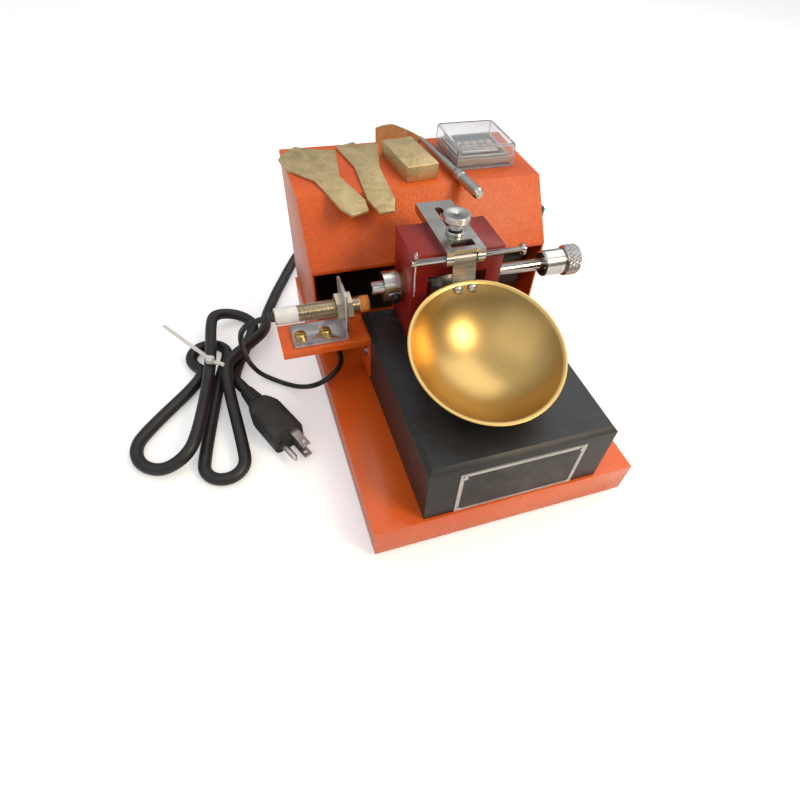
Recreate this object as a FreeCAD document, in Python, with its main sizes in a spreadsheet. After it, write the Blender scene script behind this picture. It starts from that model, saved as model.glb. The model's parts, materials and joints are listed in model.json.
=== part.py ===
import FreeCAD, Part
import math
import os
import Sketcher
from FreeCAD import Placement, Rotation, Vector

# Liquid limit device with a motor drive, in millimetres.
# X is to the right, Y to the back, Z up. The origin is on the bench, under the middle of the tray.

SIZES = [
    # tray and rubber pad
    ("pad_thick", 4.0),
    ("pad_inset", 8.0),
    ("tray_wide", 188.0),
    ("tray_deep", 278.5),
    ("tray_high", 26.5),
    ("tray_wall", 1.5),
    ("lid_thick", 1.5),
    # hard rubber block
    ("block_wide", 125.0),
    ("block_deep", 150.0),
    ("block_high", 50.0),
    ("block_chamfer", 3.0),
    ("block_setback", 2.0),
    ("block_offset", 1.4),
    ("block_screw_inset", 16.0),
    ("block_screw_bite", 15.0),
    ("label_wide", 85.0),
    ("label_high", 41.0),
    ("label_thick", 0.8),
    ("label_drop", 8.2),
    ("label_rivet_inset", 3.2),
    ("rivet_r", 1.4),
    # housing
    ("house_inset", 2.0),
    ("house_high", 112.6),
    ("house_wall", 1.5),
    ("house_rear_inset", 1.0),
    ("house_top_deep", 76.5),
    ("slope_run", 29.6),
    ("slope_drop", 39.0),
    ("tab_size", 12.0),
    ("tab_thick", 2.0),
    # line of the cup, bracket and plate
    ("work_offset", -7.9),
    # bracket that carries the shaft
    ("bracket_wide", 61.0),
    ("bracket_deep", 36.4),
    ("bracket_high", 65.0),
    ("bracket_setback", 110.0),
    ("cheek_thick", 10.5),
    ("bridge_thick", 15.5),
    ("foot_thick", 6.0),
    # slide plate
    ("plate_wide", 25.0),
    ("plate_long", 60.0),
    ("plate_thick", 5.5),
    ("plate_reach", 8.8),
    ("lug_thick", 4.7),
    ("lug_r", 4.4),
    ("pin_behind", 3.4),
    ("pin_below", 6.1),
    ("bar_thick", 2.6),
    ("bar_setback", 1.5),
    ("bar_deep", 3.5),
    ("window_deep", 6.9),
    ("slot_r", 2.5),
    ("slot_front", 20.2),
    ("slot_long", 29.3),
    # hinge pin and cotter
    ("pin_r", 1.75),
    ("pin_left", 33.2),
    ("pin_right", 40.5),
    ("pin_head_r", 3.6),
    ("pin_head_thick", 1.8),
    ("cotter_wire", 0.5),
    ("cotter_in", 2.6),
    ("fit_gap", 0.05),
    # clamp screw
    ("clamp_thread_r", 2.2),
    ("clamp_neck_r", 5.3),
    ("clamp_disc_r", 8.5),
    ("clamp_high", 12.6),
    ("tray_screw_r", 3.0),
    ("clamp_bite", 9.0),
    # cup
    ("cup_inner_r", 54.0),
    ("cup_wall", 2.0),
    ("cup_depth", 27.0),
    ("cup_tilt", 19.0),
    ("cup_from_pin", 51.35),
    ("cup_below_pin", 29.1),
    ("strip_wide", 15.0),
    ("strip_thick", 1.5),
    ("strip_lap", 9.0),
    ("barrel_wide", 15.2),
    ("barrel_r", 3.0),
    ("cup_screw_r", 1.5),
    ("cup_screw_head_r", 2.7),
    ("cup_screw_gap", 4.75),
    ("cup_screw_down", 4.6),
    # cam and follower
    ("shaft_r", 4.0),
    ("shaft_behind_front", 20.9),
    ("shaft_high", 32.3),
    ("shaft_left", 50.6),
    ("shaft_right", 103.0),
    ("cam_wide", 12.0),
    ("cam_rest_r", 13.5),
    ("nose_r", 3.0),
    ("cam_gap", 0.3),
    ("arm_thick", 2.4),
    ("cam_hub_r", 8.5),
    ("cam_hub_long", 6.0),
    # shaft furniture
    ("bush_r", 6.5),
    ("bush_flange_r", 8.0),
    ("bush_flange", 1.5),
    ("collar_r", 9.6),
    ("collar_wide", 10.8),
    ("collar_from_end", 7.0),
    ("socket_screw_r", 2.9),
    ("knob_hub_r", 9.0),
    ("knob_hub_long", 16.7),
    ("knob_grip_r", 10.9),
    ("knob_long", 28.7),
    ("pulley_r", 8.0),
    ("pulley_wide", 9.0),
    ("pulley_flange_r", 9.6),
    ("pulley_flange", 1.2),
    ("pulley_from_cheek", 1.2),
    ("belt_thick", 1.3),
    ("belt_wide", 6.0),
    ("belt_gap", 0.3),
    # motor
    ("motor_r", 25.0),
    ("motor_long", 61.0),
    ("motor_y", 70.0),
    ("motor_up", 39.5),
    ("motor_wall_gap", 2.5),
    ("gearbox_long", 13.0),
    ("gearbox_r", 22.0),
    ("motor_plate", 2.0),
    ("motor_plate_wide", 56.0),
    ("motor_shaft_r", 3.0),
    # sensor and its shelf
    ("shelf_long", 61.7),
    ("shelf_deep", 30.5),
    ("shelf_top", 43.5),
    ("shelf_thick", 1.6),
    ("shelf_front", 125.5),
    ("shelf_lip", 5.0),
    ("flange_high", 38.0),
    ("foot_deep", 23.8),
    ("foot_long", 38.5),
    ("foot_plate", 2.0),
    ("foot_from_block", 14.5),
    ("leg_high", 37.0),
    ("sensor_r", 6.0),
    ("sensor_up", 18.5),
    ("sensor_long", 58.2),
    ("sensor_label_long", 15.2),
    ("sensor_tip_long", 6.4),
    ("sensor_tip_past", 2.3),
    ("sensor_back", 14.8),
    ("nut_flats_r", 8.5),
    ("nut_thick", 4.5),
    ("cable_r", 2.0),
    ("cap_long", 5.0),
    # counter, switch and electrics
    ("counter_x", 53.8),
    ("counter_y", 102.0),
    ("counter_wide", 40.0),
    ("counter_deep", 38.0),
    ("counter_rise", 7.0),
    ("counter_sink", 42.0),
    ("bezel_wide", 43.0),
    ("bezel_thick", 2.0),
    ("cover_wide", 47.6),
    ("cover_deep", 48.0),
    ("cover_high", 16.0),
    ("cover_wall", 1.6),
    ("key_wide", 3.6),
    ("key_deep", 4.4),
    ("key_high", 2.4),
    ("key_pitch_wide", 6.2),
    ("key_pitch_deep", 7.4),
    ("key_well", 1.6),
    ("switch_y", 57.0),
    ("switch_z", 111.0),
    ("switch_wide", 16.0),
    ("switch_high", 24.0),
    ("switch_bezel", 2.5),
    ("switch_sink", 14.0),
    ("rocker_swell", 3.2),
    ("board_wide", 60.0),
    ("board_deep", 48.0),
    ("board_high", 16.0),
    ("gland_x", 5.0),
    ("gland_up", 13.5),
    ("gland_r", 8.5),
    ("cord_r", 4.6),
    ("boot_long", 20.0),
    # things that lie on the top
    ("tool_thick", 1.9),
    ("gauge_wide", 25.0),
    ("gauge_long", 47.8),
    ("gauge_high", 10.8),
    ("handle_r", 3.0),
    ("handle_grip_r", 4.0),
    ("lift_gap", 0.05),
]

doc = FreeCAD.newDocument("LiquidLimitDevice")
sheet = doc.addObject("Spreadsheet::Sheet", "Sizes")
for row, (alias, value) in enumerate(SIZES, start=1):
    sheet.set("A%d" % row, alias)
    sheet.set("B%d" % row, str(value))
    sheet.setAlias("B%d" % row, alias)
doc.recompute()


class Size:
    # A length with two faces: the expression that binds it to the sheet, and its number.
    def __init__(self, text, number):
        self.text = text
        self.number = number

    def joined(self, sign, other, number):
        return Size("(%s %s %s)" % (self.text, sign, text_of(other)), number)

    def __add__(self, other):
        return self.joined("+", other, self.number + number_of(other))

    def __sub__(self, other):
        return self.joined("-", other, self.number - number_of(other))

    def __mul__(self, other):
        return self.joined("*", other, self.number * number_of(other))

    def __truediv__(self, other):
        return self.joined("/", other, self.number / number_of(other))

    def __radd__(self, other):
        return self + other

    def __rmul__(self, other):
        return self * other

    def __rsub__(self, other):
        return -self + other

    def __neg__(self):
        return Size("(0 - %s)" % self.text, -self.number)

    def __float__(self):
        return float(self.number)


def text_of(value):
    return value.text if isinstance(value, Size) else "%.9g" % value


def number_of(value):
    return value.number if isinstance(value, Size) else value


class Sizes:
    # Each driving size of the sheet, read by its alias.
    def __getattr__(self, alias):
        return Size("Sizes." + alias, float(getattr(sheet, alias)))


s = Sizes()
ZERO = Size("0", 0.0)
pieces = []


def bind(thing, prop, value):
    thing.setExpression(prop, text_of(value))


def place(thing, x, y, z):
    bind(thing, "Placement.Base.x", x)
    bind(thing, "Placement.Base.y", y)
    bind(thing, "Placement.Base.z", z)


def keep(thing, label):
    thing.Label = label
    pieces.append(thing)
    return thing


def box(x, y, z):
    # x, y and z are pairs, low side first.
    thing = doc.addObject("Part::Box", "Box")
    for prop, (low, high) in (("Length", x), ("Width", y), ("Height", z)):
        bind(thing, prop, high - low)
    place(thing, x[0], y[0], z[0])
    return thing


TURNS = {
    "X": Rotation(Vector(0, 1, 0), 90),
    "Y": Rotation(Vector(1, 0, 0), -90),
    "Z": Rotation(),
}


def rod(axis, span, centre, radius):
    # A round bar along an axis; centre gives its two other coordinates in X, Y, Z order.
    thing = doc.addObject("Part::Cylinder", "Rod")
    thing.Placement = Placement(Vector(), TURNS[axis])
    bind(thing, "Radius", radius)
    bind(thing, "Height", span[1] - span[0])
    spots = list(centre)
    spots.insert("XYZ".index(axis), span[0])
    place(thing, *spots)
    return thing


def fuse(*things):
    whole = doc.addObject("Part::MultiFuse", "Fuse")
    whole.Shapes = list(things)
    return whole


def cut(base, *tools):
    left = doc.addObject("Part::Cut", "Cut")
    left.Base = base
    left.Tool = tools[0] if len(tools) == 1 else fuse(*tools)
    return left


def group(*things):
    # Like pieces that stay separate solids in one node.
    whole = doc.addObject("Part::Compound", "Group")
    whole.Links = list(things)
    return whole


def closed_sketch(body, points, circles=()):
    # A closed outline whose corners are each held by two bound distances.
    sketch = body.newObject("Sketcher::SketchObject", "Outline")
    base = [f for f in body.Origin.OriginFeatures if f.Role == "XY_Plane"][0]
    sketch.AttachmentSupport = [(base, "")]
    sketch.MapMode = "FlatFace"
    flat = [Vector(number_of(u), number_of(v), 0) for u, v in points]
    count = len(flat)
    for n in range(count):
        sketch.addGeometry(Part.LineSegment(flat[n], flat[(n + 1) % count]), False)
    rules = [Sketcher.Constraint("Coincident", n, 2, (n + 1) % count, 1) for n in range(count)]
    held = []
    for n, (u, v) in enumerate(points):
        rules.append(Sketcher.Constraint("DistanceX", -1, 1, n, 1, number_of(u)))
        held.append((len(rules) - 1, u))
        rules.append(Sketcher.Constraint("DistanceY", -1, 1, n, 1, number_of(v)))
        held.append((len(rules) - 1, v))
    for n, (u, v, radius) in enumerate(circles):
        spot = Vector(number_of(u), number_of(v), 0)
        sketch.addGeometry(Part.Circle(spot, Vector(0, 0, 1), number_of(radius)), False)
        rules.append(Sketcher.Constraint("DistanceX", -1, 1, count + n, 3, number_of(u)))
        held.append((len(rules) - 1, u))
        rules.append(Sketcher.Constraint("DistanceY", -1, 1, count + n, 3, number_of(v)))
        held.append((len(rules) - 1, v))
        rules.append(Sketcher.Constraint("Radius", count + n, number_of(radius)))
        held.append((len(rules) - 1, radius))
    sketch.addConstraint(rules)
    for index, value in held:
        if isinstance(value, Size):
            bind(sketch, "Constraints[%d]" % index, value)
    return sketch


PLANES = {
    "XY": Rotation(),
    "XZ": Rotation(Vector(1, 0, 0), 90),
    "YZ": Rotation(Vector(1, 1, 1), 120),
}


def slab(plane, points, span, circles=()):
    # A profile drawn on XY, XZ or YZ and padded across it, from span[0] to span[1].
    body = doc.addObject("PartDesign::Body", "Slab")
    body.Placement = Placement(Vector(), PLANES[plane])
    pad = body.newObject("PartDesign::Pad", "Pad")
    pad.Profile = closed_sketch(body, points, circles)
    bind(pad, "Length", span[1] - span[0])
    across = {"XY": ("z", span[0]), "XZ": ("y", span[1]), "YZ": ("x", span[0])}[plane]
    bind(body, "Placement.Base." + across[0], across[1])
    return body


def turned(axis, start, centre, profile):
    # A turned piece: profile gives radius and distance along the axis from start.
    body = doc.addObject("PartDesign::Body", "Turned")
    body.Placement = Placement(Vector(), TURNS[axis])
    spin = body.newObject("PartDesign::Revolution", "Turn")
    spin.Profile = closed_sketch(body, profile)
    spin.ReferenceAxis = (spin.Profile[0], ["V_Axis"])
    spin.Angle = 360
    # The sketch lies on XY and turns about its own Y, so the body is tipped to bring Y onto the axis.
    body.Placement = Placement(Vector(), TURNS[axis].multiply(Rotation(Vector(1, 0, 0), 90)))
    spots = list(centre)
    spots.insert("XYZ".index(axis), start)
    place(body, *spots)
    return body


def chamfered(body, size, wanted):
    # Breaks the edges of a body's last feature that the test picks by their middle point.
    doc.recompute()
    feature = body.Tip
    edges = feature.Shape.Edges
    names = ["Edge%d" % (n + 1) for n, e in enumerate(edges) if wanted(e.CenterOfMass)]
    bevel = body.newObject("PartDesign::Chamfer", "Bevel")
    bevel.Base = (feature, names)
    bind(bevel, "Size", size)
    return body


def shaped(label, shape, where=None):
    # A piece whose form comes from a formula, made from the sheet's numbers.
    thing = doc.addObject("Part::Feature", "Formed")
    thing.Shape = shape
    if where:
        thing.Placement = where
    return keep(thing, label)


# Heights and lines that several pieces share
tray_low = s.pad_thick
tray_top = s.pad_thick + s.tray_high
tray_half = s.tray_wide / 2
tray_end = s.tray_deep / 2
block_left = s.block_offset - s.block_wide / 2
block_right = s.block_offset + s.block_wide / 2
block_front = s.block_setback - tray_end
block_back = block_front + s.block_deep
block_top = tray_top + s.block_high
work_x = s.work_offset
bracket_left = work_x - s.bracket_wide / 2
bracket_right = work_x + s.bracket_wide / 2
bracket_front = block_front + s.bracket_setback
bracket_back = bracket_front + s.bracket_deep
bracket_top = block_top + s.bracket_high
plate_low = bracket_top
plate_top = plate_low + s.plate_thick
plate_front = bracket_front - s.plate_reach
plate_left = work_x - s.plate_wide / 2
plate_right = work_x + s.plate_wide / 2
pin_y = plate_front + s.pin_behind
pin_z = plate_top - s.pin_below
shaft_y = bracket_front + s.shaft_behind_front
shaft_z = block_top + s.shaft_high


def tray_parts():
    half = tray_half - s.pad_inset
    end = tray_end - s.pad_inset
    keep(box((-half, half), (-end, end), (ZERO, s.pad_thick)), "rubber_pad")
    outer = box((-tray_half, tray_half), (-tray_end, tray_end), (tray_low, tray_top))
    inside = tray_half - s.tray_wall
    inner_end = tray_end - s.tray_wall
    hollow = box((-inside, inside), (-inner_end, inner_end), (ZERO, tray_top - s.tray_wall))
    holes = [rod("Z", (tray_low, tray_top + 1), spot,
                 s.tray_screw_r + 0.3) for spot in block_screw_spots()]
    keep(cut(outer, hollow, *holes), "base_tray")
    lid_half = inside - s.fit_gap
    lid_end = inner_end - s.fit_gap
    keep(box((-lid_half, lid_half), (-lid_end, lid_end), (tray_low, tray_low + s.lid_thick)),
         "base_plate")


def block_screw_spots():
    left = block_left + s.block_screw_inset
    right = block_right - s.block_screw_inset
    front = block_front + s.block_screw_inset
    back = block_back - s.block_screw_inset
    return [(x, y) for x in (left, right) for y in (front, back)]


SCREW_HEAD_R = 5.0
SCREW_HEAD_HIGH = 3.4


def block_parts():
    # The block stands on the tray and is held from below by four screws.
    outline = [
        (block_left, block_front),
        (block_right, block_front),
        (block_right, block_back),
        (block_left, block_back),
    ]
    body = slab("XY", outline, (tray_top, block_top))
    high = float(s.block_high) - 0.01
    chamfered(body, s.block_chamfer, lambda p: p.z > high)
    bite = tray_top + s.block_screw_bite
    holes = [rod("Z", (tray_top - 1, bite + 1), spot,
                 s.tray_screw_r + s.fit_gap) for spot in block_screw_spots()]
    side = (block_left - 1, block_left + SHELF_SCREW_BITE + 1)
    holes += [rod("X", side, (y, z), SHELF_SCREW_R + s.fit_gap) for y, z in shelf_screw_spots()]
    deep = block_top - BRACKET_SCREW_BITE
    holes += [rod("Z", (deep - 1, block_top + 1), spot,
                  BRACKET_SCREW_R + s.fit_gap) for spot in bracket_screw_spots()]
    keep(cut(body, *holes), "base_block")
    under = tray_top - s.tray_wall
    screws = []
    for x, y in block_screw_spots():
        head = rod("Z", (under - SCREW_HEAD_HIGH, under), (x, y), SCREW_HEAD_R)
        screws.append(fuse(head, rod("Z", (under - 1, bite), (x, y), s.tray_screw_r)))
    keep(group(*screws), "block_screws")


def label_parts():
    # A bare plate on the block's front, held by four rivets.
    left = s.block_offset - s.label_wide / 2
    right = s.block_offset + s.label_wide / 2
    top = block_top - s.label_drop
    low = top - s.label_high
    face = block_front - s.label_thick
    inset = s.label_rivet_inset
    spots = [(x, z) for x in (left + inset, right - inset) for z in (low + inset, top - inset)]
    plate = box((left, right), (face, block_front), (low, top))
    holes = [rod("Y", (face - 1, block_front + 1), spot, s.rivet_r / 2 + s.fit_gap) for spot in spots]
    keep(cut(plate, *holes), "name_plate")
    rivets = []
    for spot in spots:
        head = rod("Y", (face - 0.7, face), spot, s.rivet_r)
        rivets.append(fuse(head, rod("Y", (face - 0.3, block_front), spot, s.rivet_r / 2)))
    keep(group(*rivets), "plate_rivets")


house_half = tray_half - s.house_inset
house_back = tray_end - s.house_rear_inset
house_fold = house_back - s.house_top_deep
house_front = house_fold - s.slope_run
house_top = tray_top + s.house_high
house_low = house_top - s.slope_drop
PANEL_SCREW_R = 1.5
PANEL_SCREW_LONG = 7.0


def panel_screw_spots():
    side = house_half - s.house_wall - s.tab_size / 2
    low = tray_top + s.tab_size / 2
    high = house_top - s.house_wall - s.tab_size / 2
    return [(x, z) for x in (-side, side) for z in (low, high)]


def housing_parts():
    # One folded sheet: top, slope and two sides. It is open in front below the slope and at the back.
    slope_long = math.hypot(float(s.slope_run), float(s.slope_drop))
    across = Size(
        "(Sizes.house_wall"
        " * sqrt(Sizes.slope_run * Sizes.slope_run + Sizes.slope_drop * Sizes.slope_drop)"
        " / Sizes.slope_run)",
        float(s.house_wall) * slope_long / float(s.slope_run),
    )
    steep = s.slope_drop / s.slope_run
    outer = [
        (house_front, tray_top),
        (house_front, house_low),
        (house_fold, house_top),
        (house_back, house_top),
        (house_back, tray_top),
    ]
    roof = house_top - s.house_wall
    inner = [
        (house_front - 1, tray_top - 1),
        (house_front - 1, house_low - across - steep),
        (house_fold + (across - s.house_wall) / steep, roof),
        (house_back + 1, roof),
        (house_back + 1, tray_top - 1),
    ]
    inside = house_half - s.house_wall
    shell = cut(slab("YZ", outer, (-house_half, house_half)), slab("YZ", inner, (-inside, inside)))
    tab_front = house_back - s.house_wall - s.tab_thick - s.fit_gap
    tabs = []
    for x, z in panel_screw_spots():
        half = s.tab_size / 2
        tabs.append(box((x - half, x + half), (tab_front, tab_front + s.tab_thick),
                        (z - half, z + half)))
    shell = fuse(shell, *tabs)
    screw_span = (tab_front - 1, house_back + 1)
    holes = [rod("Y", screw_span, spot, PANEL_SCREW_R + s.fit_gap) for spot in panel_screw_spots()]
    hole_x = (s.counter_x - s.counter_wide / 2 - 0.3, s.counter_x + s.counter_wide / 2 + 0.3)
    hole_y = (s.counter_y - s.counter_deep / 2 - 0.3, s.counter_y + s.counter_deep / 2 + 0.3)
    holes.append(box(hole_x, hole_y, (roof - 1, house_top + 1)))
    switch_y = (s.switch_y - s.switch_wide / 2 + 0.7, s.switch_y + s.switch_wide / 2 - 0.7)
    switch_z = (s.switch_z - s.switch_high / 2 + 0.7, s.switch_z + s.switch_high / 2 - 0.7)
    holes.append(box((inside - 1, house_half + 1), switch_y, switch_z))
    keep(cut(shell, *holes), "housing_shell")

    # The back panel sits inside the side walls on four tabs.
    edge = inside - s.fit_gap
    face = (house_back - s.house_wall, house_back)
    panel = box((-edge, edge), face, (tray_top, roof - s.fit_gap))
    holes = [rod("Y", screw_span, spot, PANEL_SCREW_R + s.fit_gap) for spot in panel_screw_spots()]
    holes.append(rod("Y", screw_span, (s.gland_x, tray_top + s.gland_up), s.gland_r - 2 + s.fit_gap))
    keep(cut(panel, *holes), "back_panel")
    screws = []
    for spot in panel_screw_spots():
        head = rod("Y", (house_back, house_back + 1.8), spot, PANEL_SCREW_R * 1.9)
        shank = rod("Y", (house_back + 1 - PANEL_SCREW_LONG, house_back + 1), spot, PANEL_SCREW_R)
        screws.append(fuse(head, shank))
    keep(group(*screws), "panel_screws")


BRACKET_SCREW_R = 2.5
BRACKET_SCREW_BITE = 12.0


def bracket_screw_spots():
    back = bracket_back - 7
    front = bracket_front + 7
    left = bracket_left + s.cheek_thick + 6
    right = bracket_right - s.cheek_thick - 6
    return [(left, front), (right, front), (left, back), (right, back)]


def bracket_parts():
    # A frame round a through window, with a foot that is screwed down to the block.
    outer = box((bracket_left, bracket_right), (bracket_front, bracket_back), (block_top, bracket_top))
    inner_x = (bracket_left + s.cheek_thick, bracket_right - s.cheek_thick)
    inner_z = (block_top + s.foot_thick, bracket_top - s.bridge_thick)
    window = box(inner_x, (bracket_front - 1, bracket_back + 1), inner_z)
    bores = [rod("X", (bracket_left - 1, bracket_right + 1), (shaft_y, shaft_z), s.bush_r + s.fit_gap)]
    tapped = plate_low - s.clamp_bite - 1
    bores.append(rod("Z", (tapped, bracket_top + 1), (work_x, clamp_y), s.clamp_thread_r + s.fit_gap))
    foot_top = block_top + s.foot_thick
    bores += [rod("Z", (block_top - 1, foot_top + 1), spot,
                  BRACKET_SCREW_R + 0.2) for spot in bracket_screw_spots()]
    keep(cut(outer, window, *bores), "cam_bracket")
    screws = []
    for spot in bracket_screw_spots():
        head = rod("Z", (foot_top, foot_top + 3), spot, BRACKET_SCREW_R * 1.7)
        screws.append(fuse(head,
                           rod("Z", (block_top - BRACKET_SCREW_BITE, foot_top + 1), spot,
                               BRACKET_SCREW_R)))
    keep(group(*screws), "bracket_screws")
    bushes = []
    for low, out in ((bracket_left, -1), (bracket_right - s.cheek_thick, 1)):
        inner = (low, low + s.cheek_thick)
        face = low if out < 0 else low + s.cheek_thick
        flange = (face - s.bush_flange, face) if out < 0 else (face, face + s.bush_flange)
        sleeve = fuse(
            rod("X", inner, (shaft_y, shaft_z), s.bush_r),
            rod("X", flange, (shaft_y, shaft_z), s.bush_flange_r),
        )
        bore = rod("X", (bracket_left - 20, bracket_right + 20), (shaft_y, shaft_z),
                   s.shaft_r + s.fit_gap)
        bushes.append(cut(sleeve, bore))
    keep(group(*bushes), "shaft_bushes")


clamp_y = plate_front + s.slot_front


def plate_parts():
    # The plate slides on the bracket's top. Two lugs at its front carry the hinge pin.
    flat = box((plate_left, plate_right), (plate_front, plate_front + s.plate_long),
               (plate_low, plate_top))
    lugs = []
    for low in (plate_left, plate_right - s.lug_thick):
        span = (low, low + s.lug_thick)
        lugs.append(rod("X", span, (pin_y, pin_z), s.lug_r))
        lugs.append(box(span, (pin_y - s.pin_behind, pin_y + s.lug_r), (pin_z, plate_top)))
    body = fuse(flat, *lugs)
    inner = (plate_left + s.lug_thick, plate_right - s.lug_thick)
    bar_front = plate_front + s.bar_setback
    bar_back = bar_front + s.bar_deep
    window_back = bar_back + s.window_deep
    under = box(inner, (plate_front - 5, window_back), (plate_low - 9, plate_top - s.bar_thick))
    ahead = box(inner, (plate_front - 5, bar_front), (plate_low, plate_top + 1))
    window = box(inner, (bar_back, window_back), (plate_low - 1, plate_top + 1))
    slot_end = clamp_y + s.slot_long
    through = (plate_low - 1, plate_top + 1)
    slot = fuse(
        rod("Z", through, (work_x, clamp_y), s.slot_r),
        rod("Z", through, (work_x, slot_end), s.slot_r),
        box((work_x - s.slot_r, work_x + s.slot_r), (clamp_y, slot_end), through),
    )
    bore = rod("X", (plate_left - 1, plate_right + 1), (pin_y, pin_z), s.pin_r + s.fit_gap)
    keep(cut(body, under, ahead, window, slot, bore), "slide_plate")

    left = work_x - s.pin_left
    right = work_x + s.pin_right
    shank = rod("X", (left, right), (pin_y, pin_z), s.pin_r)
    head = rod("X", (right - s.pin_head_thick, right), (pin_y, pin_z), s.pin_head_r)
    cotter_x = left + s.cotter_in
    hole = rod("Z", (pin_z - 4, pin_z + 4), (cotter_x, pin_y), s.cotter_wire * 2 + 0.2)
    keep(cut(fuse(shank, head), hole), "hinge_pin")
    cotter_part(cotter_x)


def cotter_part(cotter_x):
    # One bent wire: a leg up through the pin, round the eye, and down again, with the ends spread.
    wire = float(s.cotter_wire)
    half = wire + 0.15
    eye_r = 2.0
    low = float(s.pin_r) + 2
    eye_z = float(s.pin_r) + eye_r + 1.2
    route = [Vector(-1.6, -4.6, -low - 16), Vector(-0.4, -half - 0.1, -low - 3),
             Vector(0, -half, -low + 1)]
    route.append(Vector(0, -half, eye_z - eye_r - 0.6))
    for n in range(7):
        turn = math.radians(-150 + 50 * n)
        route.append(Vector(0, eye_r * math.sin(turn), eye_z + eye_r * math.cos(turn)))
    route.append(Vector(0, half, eye_z - eye_r - 0.6))
    route += [Vector(0, half, -low + 1), Vector(0.4, half + 0.1, -low - 3), Vector(1.6, 1.8, -low - 17)]
    spot = Vector(float(cotter_x), float(pin_y), float(pin_z))
    tube("cotter_pin", [spot + p for p in route], wire)


def clamp_part():
    neck = s.clamp_neck_r
    disc = s.clamp_disc_r
    profile = [
        (ZERO, -s.clamp_bite - s.plate_thick),
        (s.clamp_thread_r, -s.clamp_bite - s.plate_thick),
        (s.clamp_thread_r, ZERO),
        (neck, ZERO),
        (neck, Size("1.6", 1.6)),
        (neck - 0.7, Size("1.9", 1.9)),
        (neck - 0.7, Size("2.5", 2.5)),
        (neck, Size("2.8", 2.8)),
        (neck, s.clamp_high - 5.2),
        (disc - 0.6, s.clamp_high - 3.6),
        (disc, s.clamp_high - 3.2),
        (disc, s.clamp_high - 0.4),
        (disc - 0.4, s.clamp_high),
        (ZERO, s.clamp_high),
    ]
    keep(turned("Z", plate_top + s.fit_gap, (work_x, clamp_y), profile), "clamp_screw")


def cup_frame():
    # Middle of the rim, and the turn that tips the cup forward.
    x = float(work_x)
    y = float(pin_y) - float(s.cup_from_pin)
    z = float(pin_z) - float(s.cup_below_pin)
    return Vector(x, y, z), Rotation(Vector(1, 0, 0), float(s.cup_tilt))


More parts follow.
